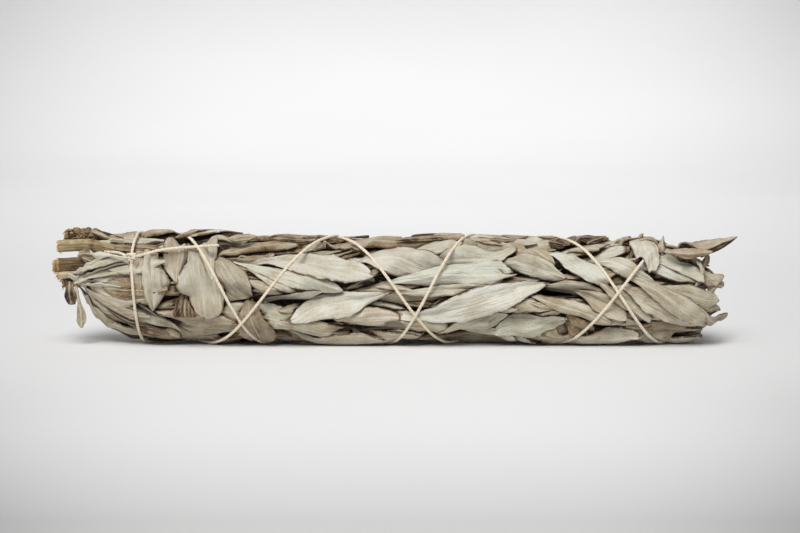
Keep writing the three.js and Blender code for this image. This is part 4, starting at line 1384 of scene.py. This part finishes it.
print("strewing takes", len(strew.nodes), "nodes")


def strewn(name, piece, **values):
    """A new piece: small things strewn over another, with lengths in millimetres."""
    for label in ("Length", "Width"):
        values[label] *= MM
    return added(name, grown(piece, strew, values))


# %% Dress the pieces


def dressed_piece(piece, material, cad_node):
    """Give a piece its finish, hang it under the root body, and hide the node of the solids that it
    stands for.
    """
    if material:
        piece.data.materials.clear()
        piece.data.materials.append(material)
    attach(piece, "root")
    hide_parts(cad_node)


for cad_node, piece in pieces.items():
    if cad_node.startswith("wrapper"):
        dressed_piece(piece, wrapper_sage, cad_node)
    else:
        dressed_piece(piece, sage, cad_node)
for k in range(LEAFY_STEMS):
    points, faces = core(k)
    body = make_mesh(f"packed_leaves_{k + 1}", to_frame(points), faces)
    dressed_piece(body, packed, f"leafy_stem_{k + 1}")
    own = [grid for grid in inner if stem_of(grid["leaf"]) == k]
    dressed_piece(join_leaves(f"inner_leaves_{k + 1}", own), sage, f"leafy_stem_{k + 1}")
fuzz = strewn("twine_fuzz", twine, Density=1.8e5, Seed=3, Length=0.8, Width=0.022, Material=cotton)
for piece in (twine, knot, fuzz):
    dressed_piece(piece, None, "twine")
stem_pieces = []
for i, row in enumerate(STEMS):
    piece = stem(row)
    piece.name = f"stem_{i + 1}"
    dressed_piece(piece, bark, f"cut_stem_{i + 1}")
    stem_pieces.append(piece)
print(len(stem_pieces), "stems and", len(pieces), "pieces of leaves are in place")

# %% Buds and torn ends
SPIKE_STEM = 2  # its place in STEMS
SPIKE_FROM, SPIKE_TO = 4.4, 16
TORN_LENGTH = 1.2  # of each stem's end


def part_of(piece, name, x_from, x_to):
    """A copy of the part of a piece between two x values, to strew things on."""
    at = np.array([v.co.x for v in piece.data.vertices]) / MM - STEM_END
    faces = [
        list(p.vertices) for p in piece.data.polygons
        if all(x_from <= at[i] <= x_to for i in p.vertices)
    ]
    used = sorted({i for f in faces for i in f})
    index = {v: n for n, v in enumerate(used)}
    points = [piece.data.vertices[i].co[:] for i in used]
    return make_mesh(name, points, [[index[i] for i in f] for f in faces])


spike = part_of(stem_pieces[SPIKE_STEM], "spike", SPIKE_FROM, SPIKE_TO)
forward = dict(Direction=(-1, 0, 0.2), Material=bark)
buds = strewn(
    "buds", spike, Density=4.5e5, Seed=8, Length=0.95, Width=0.8, Flatness=0.8, Round=True,
    Lean=0.3, Look=(0, 0, 0.42), **forward,
)
scales = strewn(
    "bud_scales", spike, Density=3e5, Seed=5, Length=2.6, Width=0.7, Flatness=0.35, Lean=0.5,
    Look=(0, 0, 0.6), **forward,
)
for piece in (buds, scales):
    piece.data.polygons.foreach_set("use_smooth", [True] * len(piece.data.polygons))
    dressed_piece(piece, None, f"cut_stem_{SPIKE_STEM + 1}")
for i, (start, *_) in enumerate(STEMS):
    end = part_of(stem_pieces[i], "end", start - 2, start + TORN_LENGTH)
    torn_end = strewn(
        f"torn_fibres_{i + 1}", end, Density=2.2e6, Seed=20 + i, Length=1.3, Width=0.2,
        Flatness=0.4, Direction=(-1, 0, 0), Lean=0.9, Look=(0.5, 0, 0.3), Material=bark,
    )
    dressed_piece(torn_end, None, f"cut_stem_{i + 1}")
    bpy.data.objects.remove(end)
bpy.data.objects.remove(spike)
print("the spike has", len(buds.data.vertices) + len(scales.data.vertices), "points of buds")

# %% [markdown]
# ## Leaves that stand free
# A few leaves at both ends do not lie on the others. Each is a sheet stretched between three
# lines: a near edge, a middle and a far edge. Their points are x, y and height. Dry bits along
# the top are made in the same way, from their ends and width alone.

# %% Lines of the free leaves
# near edge, middle, far edge, tones of the near and the far half, and the leaves' stem
FREE_LEAVES = {
    "raised_leaf": (
        [(208.9, -10, 31.6), (211.3, -9, 31.4), (214.7, -9, 30.4), (217.4, -9, 28.7),
         (220, -9, 30), (222.8, -9, 31), (225.5, -9, 32.5), (227.5, -9, 34),
         (229.2, -9, 35.6)],
        [(208.9, -11, 31.9), (209.9, -11.4, 33.5), (211.6, -11.5, 34), (213.3, -11.5, 33.2),
         (215.3, -11.5, 32.2), (218, -11.2, 31.7), (220, -11, 32), (222.1, -10.6, 32.9),
         (224.8, -10, 34.2), (229.2, -9, 35.7)],
        [(208.9, -9, 32), (210, -7, 33.4), (211.6, -6, 34), (214, -4, 33.9), (216, -4, 34.2),
         (218, -4, 34.7), (221.4, -5, 35), (224.8, -6, 35.3), (227.1, -7.5, 35.6),
         (229.2, -9, 35.8)],
        (0, 0.5), 3,
    ),
    "leaf_below_it": (
        [(204.5, -12, 30.6), (209.3, -13.5, 28.9), (212, -13.8, 28.2), (215.3, -13.5, 28.8),
         (218.4, -12.6, 29.6), (220.7, -11, 30.6)],
        [(204.5, -12, 30.7), (208, -13.4, 30.4), (212, -14, 30.1), (217, -13.4, 30.3),
         (220.7, -11, 30.8)],
        [(204.5, -12, 30.8), (209.6, -11.5, 31.9), (213, -11, 32), (216.3, -11, 31.9),
         (220.7, -11, 31)],
        (0.3, 0.5), 2,
    ),
    "crumpled_end": (
        [(215, -11, 27.6), (216.4, -12, 25), (215.8, -12.4, 22), (214.4, -12.6, 19)],
        [(216, -11, 27.6), (217.4, -12, 25), (216.4, -12.6, 22), (214.8, -12.8, 19)],
        [(217, -9, 27.4), (218.3, -10, 24.6), (217.6, -10.6, 21.6), (215.6, -11.8, 18.8)],
        (0.75, 0.85), 2,
    ),
    "leaf_spike": (
        [(202.6, -9, 29), (202.4, -9.5, 32), (203, -9.5, 33.4), (204.4, -9, 35.9)],
        [(204, -9, 29), (204.3, -10.4, 32), (204.2, -10, 33.4), (204.5, -9, 36)],
        [(205, -9, 29), (205.2, -8.5, 32), (204.9, -8.5, 33.4), (204.6, -9, 35.9)],
        (0.45, 0.1), 3,
    ),
    "leaf_bit": (
        [(217.5, -7, 25), (217.6, -7.5, 27.5), (218.3, -7.5, 28.6), (219.4, -7, 29.8)],
        [(218, -7, 25), (218.8, -8, 27.5), (219.2, -7.6, 28.6), (219.7, -7, 29.8)],
        [(218.4, -6, 25), (219.9, -6.6, 27.2), (220.2, -6.6, 28.6), (220, -7, 29.8)],
        (0.2, 0.25), 2,
    ),
    "pointed_leaf": (
        [(217, -7, 24), (218.5, -9, 20.5), (219.6, -9.4, 17.4), (220.4, -9, 15.4)],
        [(217, -7, 24.6), (220, -9.6, 22.2), (222.4, -9.4, 20.6), (220.8, -9, 15.4)],
        [(217.4, -7, 25.4), (220.4, -8.4, 23.6), (225, -8.2, 22.8), (223.4, -8.2, 19.8),
         (221, -9, 15.4)],
        (0.5, 0.65), 2,
    ),
    "curl_by_the_stems": (
        [(9.5, -9.5, 28.5), (10.5, -9.6, 29), (12.4, -10, 29), (14.2, -10.4, 28.8),
         (15.2, -10.4, 28.4)],
        [(9.3, -9.8, 29.6), (10.6, -10.8, 30), (12.4, -11.2, 30.1), (14.2, -11.2, 29.8),
         (15.3, -10.6, 28.8)],
        [(9.5, -9, 30.4), (10.1, -9, 31.3), (12.2, -9, 31.7), (13.8, -9.2, 31.2),
         (15.2, -10, 29.2)],
        (0.25, 0.35), 2,
    ),
    "pale_curl": (
        [(14.2, -11, 30), (15.5, -12, 28.6), (16.9, -12.4, 28.1), (18.4, -12.8, 28.6),
         (20, -13, 29), (25, -14.6, 28.6), (30, -16, 28)],
        [(13.8, -10.8, 30.8), (15.4, -12.4, 29.8), (17, -13, 29.4), (19, -13.2, 29.6),
         (25, -15, 28.8), (30, -16, 28.2)],
        [(13.7, -10.5, 31.5), (15, -11, 30.4), (16, -11.4, 30.7), (17.6, -11.8, 30.8),
         (19, -12.2, 30.4), (25, -14.4, 29.2), (30, -16, 28.4)],
        (0.95, 1), 2,
    ),
    "dry_ribbon": (
        [(12, -1.4, 36.8), (15, -3.6, 35.7), (18, -3.6, 35), (20, -3, 34.8)],
        [(12, -2, 37.6), (15, -4.2, 37), (18, -4, 35.8), (20, -3, 35)],
        [(12, -1, 38.4), (14.6, -2.6, 38), (17.4, -2.8, 36.8), (20, -3, 35.2)],
        (0.2, 0.5), 3,
    ),
    "hanging_bit": (
        [(5.8, -8.6, 20.8), (5.1, -9, 18.4), (4.8, -9, 15.4), (6, -9, 13.2)],
        [(6.4, -9, 20.8), (6.4, -10, 18.4), (6.6, -10, 15.6), (7, -9.4, 12.9)],
        [(7.4, -8.6, 20.6), (8.4, -9, 17.6), (8.9, -9, 15), (8.4, -9, 13.1)],
        (0.15, 0.25), 8,
    ),
    "lower_hanging_bit": (
        [(8.2, -8.6, 19.4), (9.1, -8.8, 14), (8.7, -8, 9.8), (8.6, -8, 7.4), (9.8, -8, 5.2)],
        [(8.6, -9, 19.4), (9.6, -9.4, 14), (10.1, -9.2, 10.5), (10.4, -9, 8),
         (10.2, -8.6, 5.2)],
        [(9, -8.6, 19.4), (10.2, -8.8, 14), (11.6, -8, 10), (11.9, -8, 7.8), (10.6, -8, 5.4)],
        (0.5, 0.6), 8,
    ),
    "small_leaf_on_top": (
        [(20, -6, 34), (21.5, -6.6, 34), (24, -6.6, 33.6), (27.6, -6, 33)],
        [(19.6, -5.6, 35), (21, -6.6, 35.2), (24, -6.4, 35), (27.6, -6, 34)],
        [(19.7, -5, 36.4), (21.3, -5, 36.4), (22.6, -5.4, 35.6), (27.6, -5, 35)],
        (0.5, 0.35), 3,
    ),
    "square_leaf": (
        [(24.6, -7, 33.4), (25.4, -8, 33.6), (26.6, -8.4, 33.6), (28.4, -8, 33.4)],
        [(24.6, -6.6, 35.4), (25.4, -6.8, 35.4), (26.6, -7, 35.4), (28.4, -7, 35)],
        [(24.8, -5, 37), (25.4, -5, 37.4), (26.6, -5, 37.3), (28, -5.4, 37.1)],
        (0.6, 0.6), 3,
    ),
}
# x and height of both ends, width and tone of dry bits along the top, and their stem
TOP_BITS = [
    (41.5, 35.4, 49.4, 38.2, 1.3, 0.05), (59, 35.2, 69, 36, 2.4, 0.4),
    (74, 35.4, 87, 34.4, 1.6, 0.1), (115, 34.8, 138, 35.9, 1.7, 0.1),
    (131.5, 35, 138.4, 36.4, 2.4, 0.3), (142, 34.6, 163, 33.6, 2.6, 0.55),
    (166.4, 34, 172.2, 33, 3, 0.05), (179.2, 33.4, 185.8, 36, 1.7, 0.02),
    (195.4, 33.4, 198.2, 36.9, 1.6, 0.25),
]
TOP_STEM = 3
print(len(FREE_LEAVES), "leaves stand free, and", len(TOP_BITS), "bits lie on top")

# %% Free leaves
FREE_ALONG, FREE_ACROSS = 41, 13
RUFFLE = 0.18  # millimetres


def even_line(points, count):
    """A line with evenly spread points, lowered to where the eye sees its heights."""
    line = through(points, 0.3)
    line[:, 2] -= line[:, 1] * math.tan(math.radians(SIGHT_ANGLE))
    along = distances(line)
    at = np.linspace(0, along[-1], count)
    return np.stack([np.interp(at, along, line[:, k]) for k in range(3)], -1), at


def free_leaf(name, near, middle, far, tones):
    """A thin sheet through three lines, ruffled a little."""
    near, far = even_line(near, FREE_ALONG)[0], even_line(far, FREE_ALONG)[0]
    middle, along = even_line(middle, FREE_ALONG)
    v = np.linspace(-1, 1, FREE_ACROSS)[None, :, None]
    side = np.where(v < 0, near[:, None] - middle[:, None], far[:, None] - middle[:, None])
    points = middle[:, None] + side * np.abs(v) ** 1.1
    seed = chance.uniform(0, 60)
    across = v[..., 0] * np.linalg.norm(far - near, axis=1)[:, None] / 2
    long = along[:, None] + 0 * across
    normal = np.cross(np.gradient(points, axis=0), np.gradient(points, axis=1))
    normal /= np.maximum(1e-9, np.linalg.norm(normal, axis=2))[..., None]
    ruffle = noise(long / 2.5 + seed, across / 1.5 + seed) + noise(long / 0.9, across + seed)
    points = points + normal * RUFFLE * ruffle[..., None]
    v = v[..., 0] + 0 * across
    edge = np.maximum(np.abs(v) ** 3, smooth(0.9, 1, long / along[-1]))
    tone = tones[0] + (tones[1] - tones[0]) * smooth(-0.15, 0.15, v)
    place, look = (
        np.tile(np.stack(parts, -1).reshape(-1, 3), (2, 1))
        for parts in ((long, across, np.full_like(long, seed)), (edge, 0 * edge, tone))
    )
    both = np.vstack([points.reshape(-1, 3), (points - normal * LEAF_THICKNESS).reshape(-1, 3)])
    faces, ring = sheet_faces(FREE_ALONG, FREE_ACROSS)
    return make_mesh(
        name, to_frame(both), faces, [("leaf_place", place), ("leaf_look", look)],
        [ring, ring + long.size],
    )


def top_bit(x0, h0, x1, h1, width, tone):
    """A dry bit along the top, as the lines and the tones of a free leaf."""
    start, end = np.array([x0, -5, h0]), np.array([x1, -5, h1])
    sides = []
    for side in (-1, 0, 1):
        crown = 0.15 * width if side == 0 else 0
        out = np.array([0, 0.5 * side * width, 0.42 * side * width + crown])
        knees = [start + share * (end - start) + out for share in (0.2, 0.75)]
        sides.append([start, *knees, end + 0.1 * out])
    return (*sides, (tone, tone + 0.2))


for name, (near, middle, far, tones, own_stem) in FREE_LEAVES.items():
    piece = free_leaf(name, near, middle, far, tones)
    dressed_piece(piece, sage, f"leafy_stem_{own_stem}")
for i, row in enumerate(TOP_BITS):
    piece = free_leaf(f"top_bit_{i + 1}", *top_bit(*row))
    dressed_piece(piece, sage, f"leafy_stem_{TOP_STEM}")
print("a free leaf has", FREE_ALONG * FREE_ACROSS, "points on each face")

# %% [markdown]
# ## Studio
# A pale table that curves up all round into the backdrop, so that no line shows behind the
# bunch from any side. The light is wide and comes from above and a little from the front. The
# camera looks down a little, from three quarters of a metre away. The paper has painted shade:
# it is painted a little dimmer to the sides, in the corners and at the front, as if less light
# fell there, laid out on the table itself, in lines that fan out from a fixed place in front of it.

# %% Camera
ELEVATION = math.radians(SIGHT_ANGLE)
CAMERA_AWAY = 0.75  # metres
LENS, SENSOR = 100, 36  # millimetres
seen = to_frame([116.8, 0, 25.8])

camera = added("camera", bpy.data.cameras.new("camera"))
camera.data.lens, camera.data.sensor_width = LENS, SENSOR
camera.location = seen + CAMERA_AWAY * np.array([0, -math.cos(ELEVATION), math.sin(ELEVATION)])
camera.rotation_euler = (math.pi / 2 - ELEVATION, 0, 0)
bpy.context.scene.camera = camera
bpy.context.scene.view_settings.view_transform = "Standard"
print("the camera is at", [round(v, 3) for v in camera.location])

# %% Backdrop
TABLE_RADIUS, SWEEP_RADIUS = 1.1, 1.8  # metres
ROUND = 96
FAN_AWAY, FAN_HEIGHT = 0.747, 0.0977  # metres: where the painted shade fans out from
FAN_SLOPE = 0.18  # to the side, for each metre away


def backdrop():
    """A round table with a rim that sweeps up to 60 degrees."""
    turn = np.linspace(0, math.pi / 3, 28)
    profile = [(r, 0.0) for r in np.linspace(0.2, TABLE_RADIUS, 10)]
    profile += [
        (TABLE_RADIUS + SWEEP_RADIUS * math.sin(a), SWEEP_RADIUS * (1 - math.cos(a)))
        for a in turn[1:]
    ]
    angles = np.linspace(0, 2 * math.pi, ROUND, endpoint=False)
    rings = [[(r * math.cos(a), r * math.sin(a), z) for a in angles] for r, z in profile]
    faces = [[*range(ROUND)]]
    for i in range(len(rings) - 1):
        for j in range(ROUND):
            k = (j + 1) % ROUND
            faces.append([i * ROUND + j, (i + 1) * ROUND + j, (i + 1) * ROUND + k, i * ROUND + k])
    return make_mesh("backdrop", [p for ring in rings for p in ring], faces)


def paper_painted_shade_layers(tree):
    """White paper with painted shade towards the sides, the front and the corners."""
    place = node(tree, PLACE, output="Object")
    x, y, z = node(tree, SPLIT, (place,)).node.outputs
    away = node(tree, MATH, (summed(FAN_AWAY, (y, 1.0)), 0.2), operation="MAXIMUM")
    aside, low = x, summed(FAN_HEIGHT, (z, -1.0))
    for operation, other in (("DIVIDE", away), ("DIVIDE", FAN_SLOPE), ("ABSOLUTE", 0.0)):
        aside = node(tree, MATH, (aside, other), operation=operation)
    wide = node(tree, RANGE, (aside, 0.0, 1.7, 0.0, 1.25), **EASED)
    wide = node(tree, MATH, (wide, 0.85), operation="MINIMUM")
    for operation, other in (
        ("DIVIDE", away), ("SUBTRACT", 0.0663), ("DIVIDE", 0.1464), ("ABSOLUTE", 0.0),
        ("MINIMUM", 1.0),
    ):
        low = node(tree, MATH, (low, other), operation=operation)
    behind, before, rise, front, *fades, whole = [
        node(tree, RANGE, limits, **EASED) for limits in (
            (y, 0.1, 1.4, 0.0, 0.17), (y, -0.16, -0.02, 0.12, 0.0), (z, 0.0, 0.2, 0.0, 0.18),
            (y, -0.26, -0.16, 0.04, 0.0), (y, -0.31, -0.4, 1.0, 0.0), (z, 0.16, 0.6, 1.0, 0.0),
            (aside, 1.05, 3.0, 1.0, 0.0), (y, 0.1, 0.7, 0.12, 0.0),
        )
    ]
    sideways = node(tree, MATH, (wide, 2.0), operation="POWER")
    lowest = node(tree, MATH, (low, 6.0), operation="POWER")
    corner = node(tree, MATH, (wide, low), operation="MULTIPLY")
    corner = node(tree, MATH, (corner, 2.0), operation="POWER")
    # fall is painted shade: the share by which the white paper is mixed towards black below
    fall = summed(0.17, (behind, 1.0), (before, 1.0))
    fall = node(tree, MATH, (sideways, fall), operation="MULTIPLY")
    fall = summed(fall, (lowest, 0.19), (corner, 0.03), (rise, 1.0), (front, 1.0))
    for fade in fades:
        fall = node(tree, MATH, (fall, fade), operation="MULTIPLY")
    fall = summed(fall, (whole, 1.0))
    white = with_stops(
        node(tree, RAMP, (grain(place, 3.0, 2),)), [(0.3, "#F5F4F3"), (0.7, "#F8F7F6")]
    )
    color = node(tree, MIX, {0: fall, 6: white, 7: (0, 0, 0, 1)}, **COLORS)
    height = summed(0.0, (grain(place, 800.0, 2), 0.01))
    return color, height, dull(place, 900.0, 0.82, 0.95)


floor = backdrop()
floor.data.materials.append(finish("matte white paper with painted shade", paper_painted_shade_layers))
print("the table and its sweep are", 2 * (TABLE_RADIUS + SWEEP_RADIUS), "m across")

# %% Light
world = bpy.data.worlds.new("studio")
bpy.context.scene.world = world
world.use_nodes = True
feed(world.node_tree.nodes["Background"], {"Color": linear("#EEF1F6"), "Strength": 0.23})


def softbox(name, place, aim, size, power):
    """A wide light that faces a place; metres and watts."""
    light = added(name, bpy.data.lights.new(name, "AREA"))
    light.data.shape = "RECTANGLE"
    light.data.size, light.data.size_y = size
    light.data.energy = power
    light.location = place
    light.rotation_euler = (Vector(aim) - Vector(place)).to_track_quat("-Z", "Y").to_euler()


softbox("overhead", (-0.15, -0.5, 1.3), (0, 0, 0), (0.7, 0.5), 5.6)
softbox("over the backdrop", (0, 1.15, 0.9), (0, 1.15, 0), (2.5, 0.4), 1.65)
wide = added("wide light", bpy.data.lights.new("wide light", "SUN"))
wide.data.energy = 2.45
wide.data.angle = math.radians(28)
wide.rotation_euler = (math.radians(46), 0, math.radians(-14))
print("three lights and a pale world light the table")
